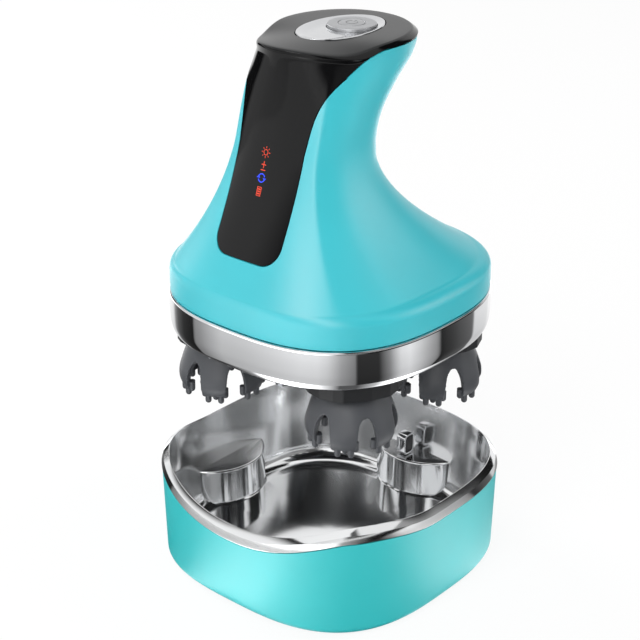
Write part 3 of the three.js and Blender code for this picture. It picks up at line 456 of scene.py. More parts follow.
def casingSolid(name):
    p = handle
    foot, edge, columns = p["shellBottom"], p["footEdge"], p["columns"]
    bandFoot = p["bandTop"] - p["edgeDrop"]
    edgeFoot = p["capTop"] - p["noseEdge"][0][0]
    heights = [foot + edge * t for t in (0.3, 1)]
    heights += [mix(foot + edge, bandFoot, t) for t in (0.3, 0.65, 1)]
    heights += [p["bandTop"] - p["edgeDrop"] * (1 - math.sin(a * math.pi / 20)) for a in range(1, 11)]
    heights += [mix(p["bandTop"], edgeFoot, i / p["rows"]) for i in range(1, p["rows"])]
    rings = [formRing(foot, edge, columns), formRing(foot, edge * 0.6, columns)]
    rings += [formRing(h, edge * 0.15 if h < foot + edge * 0.5 else 0, columns) for h in heights]
    rings += [capEdgeRing(small, large) for small, large in zip(p["noseEdge"], p["sideEdge"])]
    rings += [formRing(p["capTop"], inset, columns) for inset in p["topInsets"]]
    return loft(name, rings, lift)


def casingHollow(name):
    p = handle
    top, columns = p["capTop"] - p["wall"], p["hollowColumns"]
    heights = [p["shellBottom"] - 2, p["bandTop"] - p["edgeDrop"]]
    heights += [mix(p["bandTop"], top, i / p["hollowRows"]) for i in range(1, p["hollowRows"] + 1)]
    rings = [formRing(h, p["wall"], columns) for h in heights]
    rings.append(formRing(top, p["capHalf"] / 2, columns))
    return loft(name, rings, lift)


def capMouth(name, inset):
    # the cap's plate inside the teal rim
    ring = formRing(handle["capTop"], handle["wall"] + inset, handle["hollowColumns"])
    return loft(name, [[(x, y, z + shift) for x, y, z in ring] for shift in (inset - 4, 4)], lift)


# Black panel and cap

panel = {
    "half": 14.4,
    "bottom": 39.0,
    "corner": 6.5,
    "flareBase": 36.8,     # shares of the flare's height count from here to the cap's top
    "flare": ((0, 0.52), (0.4, 0.586), (0.8, 0.641), (1.4, 0.697), (2.4, 0.752), (3.9, 0.807),
              (4.75, 0.835), (5.7, 0.862), (6.8, 0.89), (9, 0.93), (13, 1.03)),
    "back": 0.55,          # depth of the panel's cut, as a share of the grip's front
    "capLine": ((-0.74, -13.18), (-0.66, -11.4), (-0.574, -9.73), (-0.5, -8.25), (-0.42, -6.6),
                (-0.33, -4.85), (-0.235, -3.3), (-0.14, -2.35), (0, -1.85), (0.4, -2.1), (1, -2.7),
                (2, -2.8)),
    "ahead": 66,           # how far the cutting bodies reach to the front and to the sides
    "aside": 34,
}


def roundedPanel(grow):
    # outline (x, z) of the black panel
    p, corner = panel, panel["corner"]
    half, bottom, top = p["half"] + grow, p["bottom"] - grow, handle["capTop"]
    side = [(half + out, mix(p["flareBase"], top, share)) for out, share in curveThrough(p["flare"], 80)]
    turn = [a / 14 * math.pi / 2 for a in range(15)]
    bend = [(half - corner + corner * math.sin(a), bottom + corner * (1 - math.cos(a))) for a in turn]
    right = bend + side
    return right + [(-x, z) for x, z in reversed(right)]


def capBand(grow):
    # outline (y, z) of the black cap seen from the side
    front, top = handle["gripFront"], handle["capTop"]
    edge = [(front * share, top + z - grow) for share, z in curveThrough(panel["capLine"], 120)]
    return edge + [(edge[-1][0], top + 5), (edge[0][0], top + 5)]


def blackRegion(name, grow):
    back = -handle["gripFront"] * panel["back"] + grow
    upright = prism(name, roundedPanel(grow), "y", -panel["ahead"], back, lift)
    band = prism(name + " band", capBand(grow), "x", -panel["aside"], panel["aside"], lift)
    carve(upright, band, "UNION")
    return carve(upright, capMouth(name + " mouth", handle["seam"] - grow), "UNION")


bezel = {
    "y": 5.0,
    "halfWide": 12.5,
    "halfLong": 19.0,
    "depth": 3.0,
    "cut": (98, 114),      # heights of the body that cuts its hole
    "rim": ((0, -0.1), (0.15, 0.12), (0.45, 0.2), (0.8, 0.12)),     # inset, height over the cap
    "bowl": ((0.8, 0.12), (2.0, -0.22), (3.6, -0.68), (5.4, -0.88), (8.0, -0.85)),
}


def ellipseRing(inset, height, count=120):
    # line round the silver dish in the cap
    wide, long = bezel["halfWide"] - inset, bezel["halfLong"] - inset
    turns = [i / count * fullTurn for i in range(count)]
    return [(wide * math.cos(a), bezel["y"] + long * math.sin(a), height) for a in turns]


walls = carve(casingSolid("handle skin"), casingHollow("handle hollow"))
cover = newObject("front cover skin", walls.data.copy())
carve(cover, blackRegion("panel region", 0.0), "INTERSECT")
carve(cover, loft("bezel hole", [ellipseRing(-handle["seam"], z) for z in bezel["cut"]], lift))
carve(walls, blackRegion("seam region", handle["seam"]))
finish(smooth(walls), tealPlastic)
finish(smooth(cover), blackGloss, blackSatin)
for face in cover.data.polygons:
    # the cap's top is satin
    x, y, z = face.center / mm
    underTop = lift + handle["capTop"] - capDip(x, y, handle["capTop"]) - z
    if face.normal.z > 0.75 and underTop < 0.6:
        face.material_index = 1
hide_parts("handle_shell")
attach(walls, "handset")
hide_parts("front_cover")
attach(cover, "handset")
print("handle and cover made")


# Button and dish

capTop = handle["capTop"]
button = {
    "radius": 8.75,
    "holeRadius": 9.05,
    "y": 11.0,
    "bottom": capTop - 5.6,
    "skirt": capTop - 3.3,
    "skirtWall": 1.4,
    "top": capTop - 0.4,
    "edge": (0.45, 0.35, 0.4),    # width, start and height of the round edge
    "groove": ((5.1, 0.86), (4.95, 0.78), (4.85, 0.5), (4.65, 0.5), (4.55, 0.8), (4.4, 0.88), (0, 0.94)),
    "sides": 96,
}


def bezelDish():
    low, r = capTop - bezel["depth"], button["holeRadius"]
    bowl = curveThrough(bezel["bowl"], 16)[1:]
    rings = [ellipseRing(0, low)]
    rings += [ellipseRing(inset, capTop + z) for inset, z in list(bezel["rim"]) + bowl]
    dish = loft("bezel dish", rings, lift)
    hole = [(0, low - 2), (r, low - 2), (r, capTop + 4), (0, capTop + 4)]
    return carve(dish, lathe("button hole", hole, button["sides"], 0, button["y"], lift))


def buttonCap():
    p = button
    r, skirt, skirtFoot, top = p["radius"], p["skirt"], p["skirt"] - p["skirtWall"], p["top"]
    width, start, height = p["edge"]
    profile = [(0, p["bottom"]), (2, p["bottom"]), (2, skirtFoot), (r + 1, skirtFoot), (r + 1, skirt),
               (r, skirt), (r, top + start)]
    for a in range(1, 7):
        turn = a * math.pi / 12
        profile.append((r - width * (1 - math.cos(turn)), top + start + height * math.sin(turn)))
    profile += [(radius, top + z) for radius, z in p["groove"]]
    return lathe("button cap", profile, p["sides"], 0, p["y"], lift)


dish = smooth(bezelDish(), 28)
finish(dish, brightSilver)
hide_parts("button_bezel")
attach(dish, "handset")

buttonTop = smooth(buttonCap(), 40)
finish(buttonTop, satinSilver)
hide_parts("power_button")
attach(buttonTop, "button")


def arcBand(radius, width, start, end, steps=28):
    inner, outer = radius - width / 2, radius + width / 2
    angles = [math.radians(mix(start, end, i / steps)) for i in range(steps + 1)]
    there = [(outer * math.cos(a), outer * math.sin(a)) for a in angles]
    return there + [(inner * math.cos(a), inner * math.sin(a)) for a in reversed(angles)]


def bar(x, y, width, height):
    return [(x - width / 2, y - height / 2), (x + width / 2, y - height / 2),
            (x + width / 2, y + height / 2), (x - width / 2, y + height / 2)]


def marks(name, outlines, place, depth, material):
    # thin printed or lit shapes; place turns (x, y, height over the surface) into a point in mm
    bm = bmesh.new()
    for outline in outlines:
        count = len(outline)
        low = [bm.verts.new(Vector(place(x, y, -depth)) * mm) for x, y in outline]
        high = [bm.verts.new(Vector(place(x, y, depth)) * mm) for x, y in outline]
        # an even outline is a strip with two matching sides, an odd one an arrow head
        for row in (low, high):
            if count % 2:
                bm.faces.new(row)
                continue
            for i in range(count // 2 - 1):
                bm.faces.new((row[i], row[i + 1], row[count - 2 - i], row[count - 1 - i]))
        for i in range(count):
            j = (i + 1) % count
            bm.faces.new((low[i], low[j], high[j], high[i]))
    bmesh.ops.triangulate(bm, faces=bm.faces)
    bmesh.ops.recalc_face_normals(bm, faces=bm.faces)
    obj = fromBmesh(name, bm)
    finish(obj, material)
    return obj


symbol = {"radius": 2.0, "line": 0.26, "height": 0.53, "depth": 0.03}
powerArcs = [arcBand(symbol["radius"], symbol["line"], a, b) for a, b in ((125, 270), (270, 415))]
powerSymbol = marks("power symbol", powerArcs + [bar(0, 1.9, symbol["line"], 1.7)],
                    lambda x, y, d: (x, button["y"] + y, lift + capTop + symbol["height"] + d),
                    symbol["depth"], markGrey)
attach(powerSymbol, "button")


def panelPlace(centre):
    def place(x, y, d):
        h = centre + y
        return (x, frontFace(x, h) - d, lift + h)
    return place


markDepth = 0.05
sunRays = []
for k in range(8):
    a = k / 8 * fullTurn
    c, s = math.cos(a), math.sin(a)
    ray = [(1.35, -0.11), (1.95, -0.11), (1.95, 0.11), (1.35, 0.11)]
    sunRays.append([(u * c - v * s, u * s + v * c) for u, v in ray])
# name, height over the ring's edge, material and outlines
lampMarks = (
    ("heat mark", 74.05, lightRed,
     [arcBand(0.9, 0.24, 0, 180, 14), arcBand(0.9, 0.24, 180, 360, 14)] + sunRays),
    ("plus mark", 69.95, lightRed,
     [bar(0, 0, 2.0, 0.3), bar(0, 0.65, 0.3, 1.0), bar(0, -0.65, 0.3, 1.0)]),
    ("minus mark", 68.15, lightRed, [bar(0, 0, 2.0, 0.3)]),
    ("turning mark", 65.55, lightBlue,
     [arcBand(1.35, 0.38, 20, 150), arcBand(1.35, 0.38, 200, 330),
      [(2.1, 0.1), (0.6, 0.1), (1.35, -0.8)], [(-2.1, -0.1), (-0.6, -0.1), (-1.35, 0.9)]]),
    ("battery mark", 61.15, lightRed,
     [bar(-0.85, 0, 0.25, 3.0), bar(0.85, 0, 0.25, 3.0), bar(0, 1.42, 1.5, 0.22),
      bar(0, -1.42, 1.5, 0.22), bar(0, 0.75, 1.2, 0.42), bar(0, 0, 1.2, 0.42), bar(0, -0.75, 1.2, 0.42)]),
)
for name, height, material, outlines in lampMarks:
    mark = marks(name, outlines, panelPlace(height), markDepth, material)
    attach(mark, "handset")
print("button, dish and marks made")


# Chrome ring

band = {
    "foot": (51.8, 0.0),   # half width and height
    "side": ((52.2, 0.0), (52.7, 0.2), (53.1, 0.8), (53.4, 1.7), (53.7, 3.2), (53.85, 5.0), (53.95, 8.0),
             (54.0, 11.0), (54.0, 14.3)),
    "lip": ((53.95, 14.65), (53.8, 14.88), (53.5, 15.0)),
    "inside": ((50.5, -1), (51.7, 11), (51.7, 16)),
    "columns": (200, 120),
}


def chromeRing():
    power, (many, few) = handle["flangePower"], band["columns"]
    outer = [band["foot"]] + curveThrough(band["side"], 60) + list(band["lip"])
    outerRings = [squareRing(half, power, h, many) for half, h in outer]
    innerRings = [squareRing(half, power, h, few) for half, h in band["inside"]]
    return carve(loft("chrome band", outerRings, lift), loft("band hollow", innerRings, lift))


ring = smooth(chromeRing(), 30)
finish(ring, chromePlate)
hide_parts("chrome_ring")
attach(ring, "handset")


# Massage heads

claw = {
    "count": 6,
    "reach": 16.6,
    "crown": -5.75,
    "length": 19.3,
    "bore": 5.2,
    "crownEdge": 8.6,
    "archWidth": 7.3,
    "archTop": 7.2,        # apex of an arch under the crown
    "pegRadius": 1.15,
    "pegLength": 2.8,
    "pegRoot": 1.2,        # length of a peg inside its claw
    "pegSides": 16,
    "pegRings": 10,
    # turn, step inward and lift: outer pair, inner one, shorter pair at the claw's sides
    "pegPlaces": ((-0.165, 2.1, 0), (0.165, 2.1, 0), (0, 4.3, 0.3), (-0.28, 2.7, 1.9), (0.28, 2.7, 1.9)),
    "voxel": 0.34,
}
headSpots = [(31.086, -25.173), (31.086, 25.173), (-31.086, 25.173), (-31.086, -25.173)]


def clawShell():
    p = claw
    top, reach, edge, bore = p["crown"], p["reach"], p["crown"] - p["length"], p["bore"]
    outer = curveThrough([(reach - 1.2, edge), (reach - 0.1, top - 16.4), (reach - 0.2, top - 13),
                          (reach - 1.2, top - 9.6), (14, top - 5.8), (12, top - 2.3),
                          (9.6, top - 0.3)], 36)
    inner = curveThrough([(7.0, top - 5.3), (9.6, top - 6.0), (reach - 4.2, top - 9.4),
                          (reach - 2.8, top - 13), (reach - 2.5, top - 16.2), (reach - 3.5, edge)], 24)
    profile = [(bore, top), (bore, top - 5.2)] + inner + outer + [(p["crownEdge"], top), (bore, top)]
    shell = lathe("claw shell", profile, 96)
    apex, spread = top - p["archTop"], p["archWidth"] / 2
    side = []
    for i in range(19):
        t = (i / 18) ** 2
        side.append((spread * math.sqrt(1 - (1 - t) ** 2.6), mix(apex, edge, t)))
    outline = [(-x, z) for x, z in reversed(side)] + side[1:]
    outline += [(spread + 0.6, edge - 6), (-spread - 0.6, edge - 6)]
    for k in range(p["count"]):
        cutter = prism("arch", outline, "y", -reach - 4, -bore)
        cutter.data.transform(Matrix.Rotation(k / p["count"] * fullTurn, 4, "Z"))
        carve(shell, cutter)
    # the remesh and the smoothing soften every edge
    shrink = shell.modifiers.new("soft", "REMESH")
    shrink.mode = "VOXEL"
    shrink.voxel_size = p["voxel"] * mm
    relax = shell.modifiers.new("relax", "SMOOTH")
    relax.factor = 0.5
    relax.iterations = 5
    return bake(shell)


def pegTree(material):
    # one rounded peg on each point of the object's mesh
    tree = bpy.data.node_groups.new("claw pegs", "GeometryNodeTree")
    face = tree.interface
    face.new_socket("Geometry", in_out="INPUT", socket_type="NodeSocketGeometry")
    face.new_socket("Peg radius", in_out="INPUT", socket_type="NodeSocketFloat")
    face.new_socket("Peg length", in_out="INPUT", socket_type="NodeSocketFloat")
    face.new_socket("Geometry", in_out="OUTPUT", socket_type="NodeSocketGeometry")
    add, link = tree.nodes.new, tree.links.new
    start = add("NodeGroupInput")
    end = add("NodeGroupOutput")
    tube = add("GeometryNodeMeshCylinder")
    tube.inputs["Vertices"].default_value = claw["pegSides"]
    link(start.outputs["Peg radius"], tube.inputs["Radius"])
    link(start.outputs["Peg length"], tube.inputs["Depth"])
    ball = add("GeometryNodeMeshUVSphere")
    ball.inputs["Segments"].default_value = claw["pegSides"]
    ball.inputs["Rings"].default_value = claw["pegRings"]
    link(start.outputs["Peg radius"], ball.inputs["Radius"])
    half = add("ShaderNodeMath")
    half.operation = "MULTIPLY"
    half.inputs[1].default_value = -0.5
    link(start.outputs["Peg length"], half.inputs[0])
    down = add("ShaderNodeCombineXYZ")
    link(half.outputs["Value"], down.inputs["Z"])
    place = add("GeometryNodeTransform")
    link(ball.outputs["Mesh"], place.inputs["Geometry"])
    link(down.outputs["Vector"], place.inputs["Translation"])
    both = add("GeometryNodeJoinGeometry")
    link(tube.outputs["Mesh"], both.inputs["Geometry"])
    link(place.outputs["Geometry"], both.inputs["Geometry"])
    copies = add("GeometryNodeInstanceOnPoints")
    link(start.outputs["Geometry"], copies.inputs["Points"])
    link(both.outputs["Geometry"], copies.inputs["Instance"])
    real = add("GeometryNodeRealizeInstances")
    link(copies.outputs["Instances"], real.inputs["Geometry"])
    coat = add("GeometryNodeSetMaterial")
    coat.inputs["Material"].default_value = material
    link(real.outputs["Geometry"], coat.inputs["Geometry"])
    link(coat.outputs["Geometry"], end.inputs["Geometry"])
    return tree


def clawPegs(tree):
    p = claw
    edge = p["crown"] - p["length"]
    low = edge - p["pegLength"] + p["pegRadius"]
    high = edge + p["pegRoot"]
    points = []
    for k in range(p["count"]):
        for turn, step, up in p["pegPlaces"]:
            angle = k / p["count"] * fullTurn + turn
            reach, z = p["reach"] - step, (low + high) / 2 + up
            points.append(Vector((reach * math.cos(angle), reach * math.sin(angle), z)) * mm)
    obj = fromPoints("claw pegs", points, [])
    step = obj.modifiers.new("pegs", "NODES")
    step.node_group = tree
    sockets = {s.name: s.identifier for s in tree.interface.items_tree if s.in_out == "INPUT"}
    step[sockets["Peg radius"]] = p["pegRadius"] * mm
    step[sockets["Peg length"]] = (high - low) * mm
    return bake(obj)


pegs = clawPegs(pegTree(clawSilicone))
headPattern = joined("claw head", [clawShell(), pegs])
smooth(headPattern, 70)
for i, (x, y) in enumerate(headSpots, 1):
    head = newObject(f"claw head {i}", headPattern.data.copy())
    head.data.transform(Matrix.Translation(Vector((x, y, lift)) * mm))
    finish(head, clawSilicone)
    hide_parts(f"massage_head_{i}")
    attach(head, f"head_{i}")
bpy.data.objects.remove(headPattern)
print("massage heads made")


# Dock

dock = {
    "power": 2.9,
    "half": 57.8,
    "footHalf": 56.8,
    "bottom": 0.6,
    "height": 42.0,
    "wall": 1.5,
    "fillet": 3.5,
    "rimWidth": 2.9,
    "rimDrop": 5.2,
    "rimDip": 7.5,
    "dipReach": 46.0,
    "rimCorner": 3.0,      # rise of the rim at the front corners
    "frontStart": -8,      # the front's dip begins here and is full after the next length
    "frontLength": 30,
    "openingHalf": 50.1,
    "basinWall": 1.2,
    "basinTaper": 2.1,
    "basinFloor": 5.5,
    "basinFillet": 7.0,
    "mouth": ((-0.02, 0.6), (0.02, 0.25), (0.15, 0.02), (0.3, -2)),     # widening, drop under the rim
    "bevel": ((0.5, 0.2), (0.3, 0.04), (0.1, 0.05)),
    "pillarTop": 20.5,
    "pillarHalfWall": 53.4,
    "pillarDepth": 11.5,
    "pillarChord": 19.0,
    "pillarBack": 62,      # past the basin's wall
    "pillarFoot": ((-1.1, -1), (-1.0, -0.1), (-0.55, 0.1), (-0.2, 0.45), (0, 1.1)),    # inset, height
    "pillarRound": 0.9,
    "inletCorner": 2.0,
    "inletCut": (50, 60),
    "wallInside": 51.5,
    "columns": 176,
}


def rimHeight(x, y):
    toFront = ease(clamp((dock["frontStart"] - y) / dock["frontLength"]))
    across = (1 - clamp(abs(x) / dock["dipReach"]) ** 2) ** 1.3
    return dock["height"] + toFront * (dock["rimCorner"] - (dock["rimDip"] + dock["rimCorner"]) * across)


def dropped(drop):
    return lambda x, y: rimHeight(x, y) - drop


def dockRing(half, height):
    return squareRing(half, dock["power"], height, dock["columns"])


def filletRings(half, bottom, radius, steps):
    turns = [i / steps * math.pi / 2 for i in range(steps + 1)]
    return [dockRing(half - radius + radius * math.sin(a), bottom + radius * (1 - math.cos(a)))
            for a in turns]


def dockForm(name, inset, bottom, top):
    rings = filletRings(dock["footHalf"] - inset, bottom, dock["fillet"] - inset * 0.5, 14)
    rings.append(dockRing(dock["half"] - 0.2 - inset, top))
    rings.append(dockRing(dock["half"] - 0.4 - inset - dock["wall"], top))
    return loft(name, rings)


def pillarOutline(inset, steps=72):
    # round front and straight sides that run into the wall
    depth, chord, back = dock["pillarDepth"], dock["pillarChord"], dock["pillarBack"]
    radius = (chord ** 2 + depth ** 2) / (2 * depth)
    centre = dock["pillarHalfWall"] - depth + radius
    r = radius - inset
    turn = math.asin((dock["pillarHalfWall"] + 1.0 - centre) / r)
    points = []
    for i in range(steps + 1):
        a = mix(math.pi - turn, fullTurn + turn, i / steps)
        points.append((r * math.cos(a), centre + r * math.sin(a)))
    return points + [(points[-1][0], back), (points[0][0], back)]


def pillar(name, turned):
    top, floor, r = dock["pillarTop"], dock["basinFloor"], dock["pillarRound"]
    turns = [a * math.pi / 12 for a in range(7)]
    levels = [(inset, floor + z) for inset, z in dock["pillarFoot"]]
    levels += [(r * (1 - math.cos(a)), top - r * (1 - math.sin(a))) for a in turns]
    solid = loft(name, [[(x, y, z) for x, y in pillarOutline(inset)] for inset, z in levels])
    if turned:
        solid.data.transform(Matrix.Rotation(math.radians(90), 4, "Z"))
    return solid


def dockSkin():
    p = dock
    shell = dockForm("dock skin", 0, p["bottom"], dropped(p["rimDrop"] + 0.3))
    hollow = dockForm("dock hollow", p["wall"], p["bottom"] + p["wall"], dropped(p["rimDrop"] - 3))
    carve(shell, hollow)
    opening = [(x, y) for x, y, _ in squareRing(p["openingHalf"], p["power"], 0, 96)]
    carve(shell, prism("dock opening", opening, "z", -1, 4))
    low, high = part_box("dock_inlet")
    width, height = (high.x - low.x) / mm / 2 + 0.3, (high.z - low.z) / mm / 2 + 0.3
    slot = roundedBox((0, (high.z + low.z) / mm / 2), (width, height), p["inletCorner"])
    return carve(shell, prism("inlet hole", slot, "y", *p["inletCut"]))


def basinSkin():
    p = dock
    mouth = p["half"] - p["rimWidth"]
    wall = mouth - p["basinTaper"]
    outer = filletRings(wall + p["basinWall"], p["basinFloor"] - 1.6, p["basinFillet"] + 0.8, 8)
    half, drop = p["half"], p["rimDrop"]
    under = mouth + p["basinWall"] - p["basinTaper"] * 0.22
    rim = [(under, drop), (half - 0.15, drop), (half, drop - 0.15), (half - 0.03, drop - 0.4),
           (half - 0.72, 2.15)]
    rim += [(mouth + out, down) for out, down in p["bevel"]]
    outer += [dockRing(half, dropped(drop)) for half, drop in rim]
    hollow = filletRings(wall, p["basinFloor"], p["basinFillet"], 14)
    hollow += [dockRing(mouth + out, dropped(drop)) for out, drop in p["mouth"]]
    space = loft("basin space", hollow)
    carve(space, pillar("pillar back", False))
    carve(space, pillar("pillar left", True))
    return carve(loft("basin skin", outer), space)


dockBody = smooth(dockSkin(), 30)
finish(dockBody, tealDock)
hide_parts("dock_shell")
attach(dockBody, "dock")

basin = smooth(basinSkin(), 20)
finish(basin, basinChrome, basinSatin)
for face in basin.data.polygons:
    # the outer wall and the pillars' tops are less polished
    centre = face.center / mm
    reach = (abs(centre.x) ** dock["power"] + abs(centre.y) ** dock["power"]) ** (1 / dock["power"])
    onWall = abs(face.normal.z) < 0.5 and centre.z < 36 and reach > dock["wallInside"]
    onPillar = face.normal.z > 0.95 and abs(centre.z - dock["pillarTop"]) < 0.6
    face.material_index = int(onWall or onPillar)
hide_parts("dock_basin")
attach(basin, "dock")


# Plug

plugForm = {
    "corner": 1.9,
    "wall": 0.85,
    "windowCorner": 1.2,
    "bevel": 0.28,
}


def plugFrame():
    low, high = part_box("charging_plug_shell")
    middle = ((low.y + high.y) / 2 / mm, (low.z + high.z) / 2 / mm)
    halfY, halfZ, halfX = (high.y - low.y) / 2 / mm, (high.z - low.z) / 2 / mm, high.x / mm
    wall = plugForm["wall"]
    outside = roundedBox(middle, (halfY, halfZ), plugForm["corner"])
    window = roundedBox(middle, (halfY - wall, halfZ - wall), plugForm["windowCorner"])
    frameBody = prism("plug frame", outside, "x", -halfX, halfX)
    carve(frameBody, prism("plug window", window, "x", -9, 9))
    edges = frameBody.modifiers.new("round", "BEVEL")
    edges.width = plugForm["bevel"] * mm
    edges.segments = 3
    edges.limit_method = "ANGLE"
    edges.angle_limit = math.radians(50)
    return bake(frameBody)


plug = smooth(plugFrame(), 40)
finish(plug, chromePlate)
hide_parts("charging_plug_shell")
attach(plug, "dock")
print("dock made")


# Carried-over nodes

finishes = {
    darkPlate: ("bottom_plate", "tact_switch", "dock_base", "head_hub"),
    softRubber: ("head_seal", "dock_foot"),
    gearPlastic: ("inner_frame", "gearbox", "idler_gear", "sun_gear", "head_spindle"),
    boardGreen: ("switch_board", "main_board", "dock_board"),
    cellWrap: ("battery",),
    guidePlastic: ("light_guide",),
    platedSteel: ("motor", "charging_socket", "dock_inlet", "base_screw", "dock_screw"),
    blackGloss: ("charging_plug_core",),
}
for name, node in nodes.items():
    for material, starts in finishes.items():
        if name.startswith(starts):
            finish(node, material)
print("carried-over nodes finished")


# Studio

studio = {
    "floorShade": 0.92,
    "floorGlow": 0.9,          # share of plain white in what the camera and mirrors see of the floor
    "ambient": 0.5,
    "cardHeight": 0.0006,      # the floor's cards lie this high
    "wallDistance": 0.9,
}


def emptyNodes(owner):
    # node tree of a material or the world, and the ways to add and link its nodes
    owner.use_nodes = True
    tree = owner.node_tree
    tree.nodes.clear()
    return tree, tree.nodes.new, tree.links.new


def eyeOrMirror(tree):
    # 1 for what the camera and reflections see, 0 for the light that falls on a surface
    add, link = tree.nodes.new, tree.links.new
    path = add("ShaderNodeLightPath")
    seen = add("ShaderNodeMath")
    seen.operation = "MAXIMUM"
    link(path.outputs["Is Camera Ray"], seen.inputs[0])
    link(path.outputs["Is Glossy Ray"], seen.inputs[1])
    return seen.outputs["Value"]


def floorMaterial():
    # white to the camera and in reflections, with part of the shading kept so a soft shadow shows
    material = bpy.data.materials.new("studio floor")
    tree, add, link = emptyNodes(material)
    out = add("ShaderNodeOutputMaterial")
    matte = add("ShaderNodeBsdfDiffuse")
    matte.inputs["Color"].default_value = (studio["floorShade"],) * 3 + (1,)
    glow = add("ShaderNodeEmission")
    glow.inputs["Color"].default_value = (1, 1, 1, 1)
    glow.inputs["Strength"].default_value = 1.0
    part = add("ShaderNodeMath")
    part.operation = "MULTIPLY"
    part.inputs[1].default_value = studio["floorGlow"]
    link(eyeOrMirror(tree), part.inputs[0])
    blend = add("ShaderNodeMixShader")
    link(part.outputs["Value"], blend.inputs["Fac"])
    link(matte.outputs["BSDF"], blend.inputs[1])
    link(glow.outputs["Emission"], blend.inputs[2])
    link(blend.outputs["Shader"], out.inputs["Surface"])
    return material


def studioWorld():
    # plain white to the eye and in reflections, half as bright as a light
    world = bpy.data.worlds.new("studio")
    tree, add, link = emptyNodes(world)
    out = add("ShaderNodeOutputWorld")
    either = add("ShaderNodeMixShader")
    link(eyeOrMirror(tree), either.inputs["Fac"])
    for socket, strength in ((1, studio["ambient"]), (2, 1.0)):
        white = add("ShaderNodeBackground")
        white.inputs["Color"].default_value = (1, 1, 1, 1)
        white.inputs["Strength"].default_value = strength
        link(white.outputs["Background"], either.inputs[socket])
    link(either.outputs["Shader"], out.inputs["Surface"])
    return world


floor = fromPoints("floor", [(-6, -6, 0), (6, -6, 0), (6, 6, 0), (-6, 6, 0)], [(0, 1, 2, 3)])
finish(floor, floorMaterial())
bpy.context.scene.world = studioWorld()


def softbox(name, place, target, width, height, power):
    lamp = bpy.data.lights.new(name, "AREA")
    lamp.shape = "RECTANGLE"
    lamp.size, lamp.size_y = width, height
    lamp.energy = power
    obj = bpy.data.objects.new(name, lamp)
    bpy.context.scene.collection.objects.link(obj)
    obj.location = place
    obj.rotation_euler = (Vector(target) - Vector(place)).to_track_quat("-Z", "Y").to_euler()


# name, place, what it points at, width, height and power
softbox("key softbox", (0.14, -0.98, 0.89), (0, 0, 0.14), 0.6, 0.5, 8)
softbox("left softbox", (-1.15, 0.02, 0.56), (0, 0, 0.15), 0.5, 0.5, 8)
softbox("strip softbox", (0.65, -1.0, 0.42), (0, 0, 0.16), 0.14, 0.5, 3)
softbox("rear softbox", (0.8, 0.75, 0.45), (0, 0, 0.1), 0.5, 0.4, 5)


def cardMaterial(name, stops, strength):
    # shade by the direction round the object, as grey cards stand round a product;
    # strength is (near distance, far distance, near, far) from the object's axis
    material = bpy.data.materials.new(name)
    _, add, link = emptyNodes(material)
    place = add("ShaderNodeTexCoord")
    around = add("ShaderNodeTexGradient")
    around.gradient_type = "RADIAL"
    turned = add("ShaderNodeMapping")
    turned.inputs["Rotation"].default_value[2] = math.pi / 2     # the ramp's middle at the front
    link(place.outputs["Object"], turned.inputs["Vector"])
    link(turned.outputs["Vector"], around.inputs["Vector"])
    shade = add("ShaderNodeValToRGB")
    ramp = shade.color_ramp
    for _ in stops[2:]:
        ramp.elements.new(0.5)
    for element, (degrees, level) in zip(ramp.elements, stops):
        element.position = degrees / 360 + 0.5
        element.color = (level, level, level, 1)
    link(around.outputs["Fac"], shade.inputs["Fac"])
    away = add("ShaderNodeVectorMath")
    away.operation = "LENGTH"
    link(place.outputs["Object"], away.inputs[0])
    power = add("ShaderNodeMapRange")
    for socket, value in zip(("From Min", "From Max", "To Min", "To Max"), strength):
        power.inputs[socket].default_value = value
    link(away.outputs["Value"], power.inputs["Value"])
    glow = add("ShaderNodeEmission")
    link(shade.outputs["Color"], glow.inputs["Color"])
    link(power.outputs["Result"], glow.inputs["Strength"])
    out = add("ShaderNodeOutputMaterial")
    link(glow.outputs["Emission"], out.inputs["Surface"])
    return material


def card(name, low, high, stops, strength=(0, 1, 1, 1)):
    # curved grey card between two (radius, height) edges, seen only in reflections
    count = 97
    turns = [math.radians(mix(stops[0][0], stops[-1][0], i / (count - 1))) for i in range(count)]
    verts = [(r * math.sin(a), -r * math.cos(a), z) for r, z in (low, high) for a in turns]
    faces = [(i, i + 1, i + 1 + count, i + count) for i in range(count - 1)]
    obj = fromPoints(name, verts, faces)
    finish(obj, cardMaterial(name, stops, strength))
    obj.visible_camera = False
    obj.visible_diffuse = False
    obj.visible_shadow = False
    obj.visible_transmission = False


# each stop is a direction from the front toward the right, in degrees, and a shade
flat, far = studio["cardHeight"], studio["wallDistance"]
card("floor card", (0.135, flat), (0.297, flat),
     [(-180, 1), (-100, 1), (-92, 0.9), (-86, 0.3), (-80, 0.12), (-70, 0.04), (-57, 0.016), (-56, 0.28),
      (-50, 0.35), (-42, 0.54), (-38, 0.66), (-11, 0.82), (9, 0.92), (24, 0.9), (33, 0.77), (46, 0.42),
      (59, 0.25), (61, 0.033), (82, 0.036), (92, 0.29), (102, 0.86), (110, 0.97), (118, 0.75),
      (130.5, 0.34), (132, 0.02), (139, 0.09), (150, 0.16), (152, 0.81), (175, 0.87), (180, 1)],
     (0.2, 0.29, 0.82, 1.14))
card("near floor card", (0.06, flat), (0.135, flat),
     [(-180, 0.1), (-80, 0.02), (-45, 0.01), (-30, 0.08), (-12, 0.9), (3, 1), (14, 0.5), (30, 0.2),
      (45, 0.02), (62, 0.02), (80, 0.12), (98, 0.45), (112, 0.5), (128, 0.25), (150, 0.06), (180, 0.05)],
     (0, 1, 5.5, 5.5))
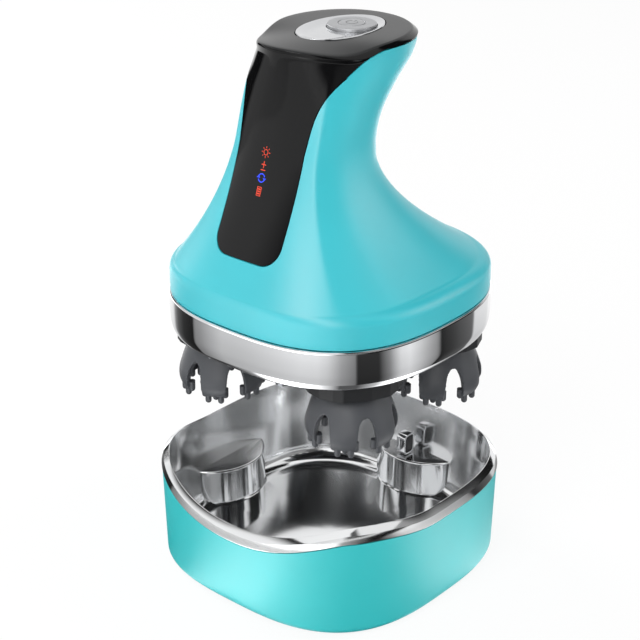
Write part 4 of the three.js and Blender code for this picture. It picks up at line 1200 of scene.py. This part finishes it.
card("outer floor card", (0.297, flat), (0.6, flat),
     [(-180, 0.7), (-100, 0.7), (-70, 0.2), (-45, 0.25), (-25, 0.9), (10, 1), (24, 0.6), (42, 0.1),
      (75, 0), (150, 0), (172, 0.15), (180, 0.25)], (0, 1, 4, 4))
card("low wall card", (far, 0.0), (far, 0.14),
     [(-180, 1), (-118, 1), (-112, 0.01), (-84, 0.01), (-76, 0.5), (-55, 0.75), (-16, 0.8), (4, 0.7),
      (25, 0.8), (42, 0.9), (52, 0.12), (68, 0.05), (82, 0.3), (92, 0.36), (111, 0.66), (128, 0.55),
      (139, 0.3), (144, 0.16), (156, 0.24), (160, 1), (180, 1)])
wallStart = [(-180, 1), (-118, 1), (-112, 0.01), (-84, 0.01), (-76, 0.9), (-40, 1), (42, 1), (52, 0.1),
             (66, 0.1)]
for name, foot, top, side in (("middle wall card", 0.14, 0.7, 0.3), ("high wall card", 0.7, 2.0, 0.9)):
    card(name, (far, foot), (far, top),
         wallStart + [(76, side), (134, side), (142, 0.01), (176, 0.01), (180, 1)])
card("panel flag", (0.3, 0.215), (0.3, 0.29), [(-92, 1), (6, 1)], (0.369, 0.4, 1, 0.01))


# Camera

view = {
    "azimuth": 40.68,
    "elevation": 24.92,
    "distance": 0.61832,
    "acrossTarget": -0.00387,
    "heightTarget": 0.09674,
    "lens": 94.26,
}
az, el = math.radians(view["azimuth"]), math.radians(view["elevation"])
right = Vector((math.cos(az), math.sin(az), 0))
back = Vector((math.sin(az) * math.cos(el), -math.cos(az) * math.cos(el), math.sin(el)))
cameraData = bpy.data.cameras.new("photo camera")
cameraData.lens = view["lens"]
cameraData.sensor_width = 36
camera = bpy.data.objects.new("photo camera", cameraData)
bpy.context.scene.collection.objects.link(camera)
target = right * view["acrossTarget"] + Vector((0, 0, view["heightTarget"]))
camera.location = target + back * view["distance"]
camera.rotation_euler = back.to_track_quat("Z", "Y").to_euler()
bpy.context.scene.camera = camera
bpy.context.scene.view_settings.view_transform = "Standard"
print("studio made")
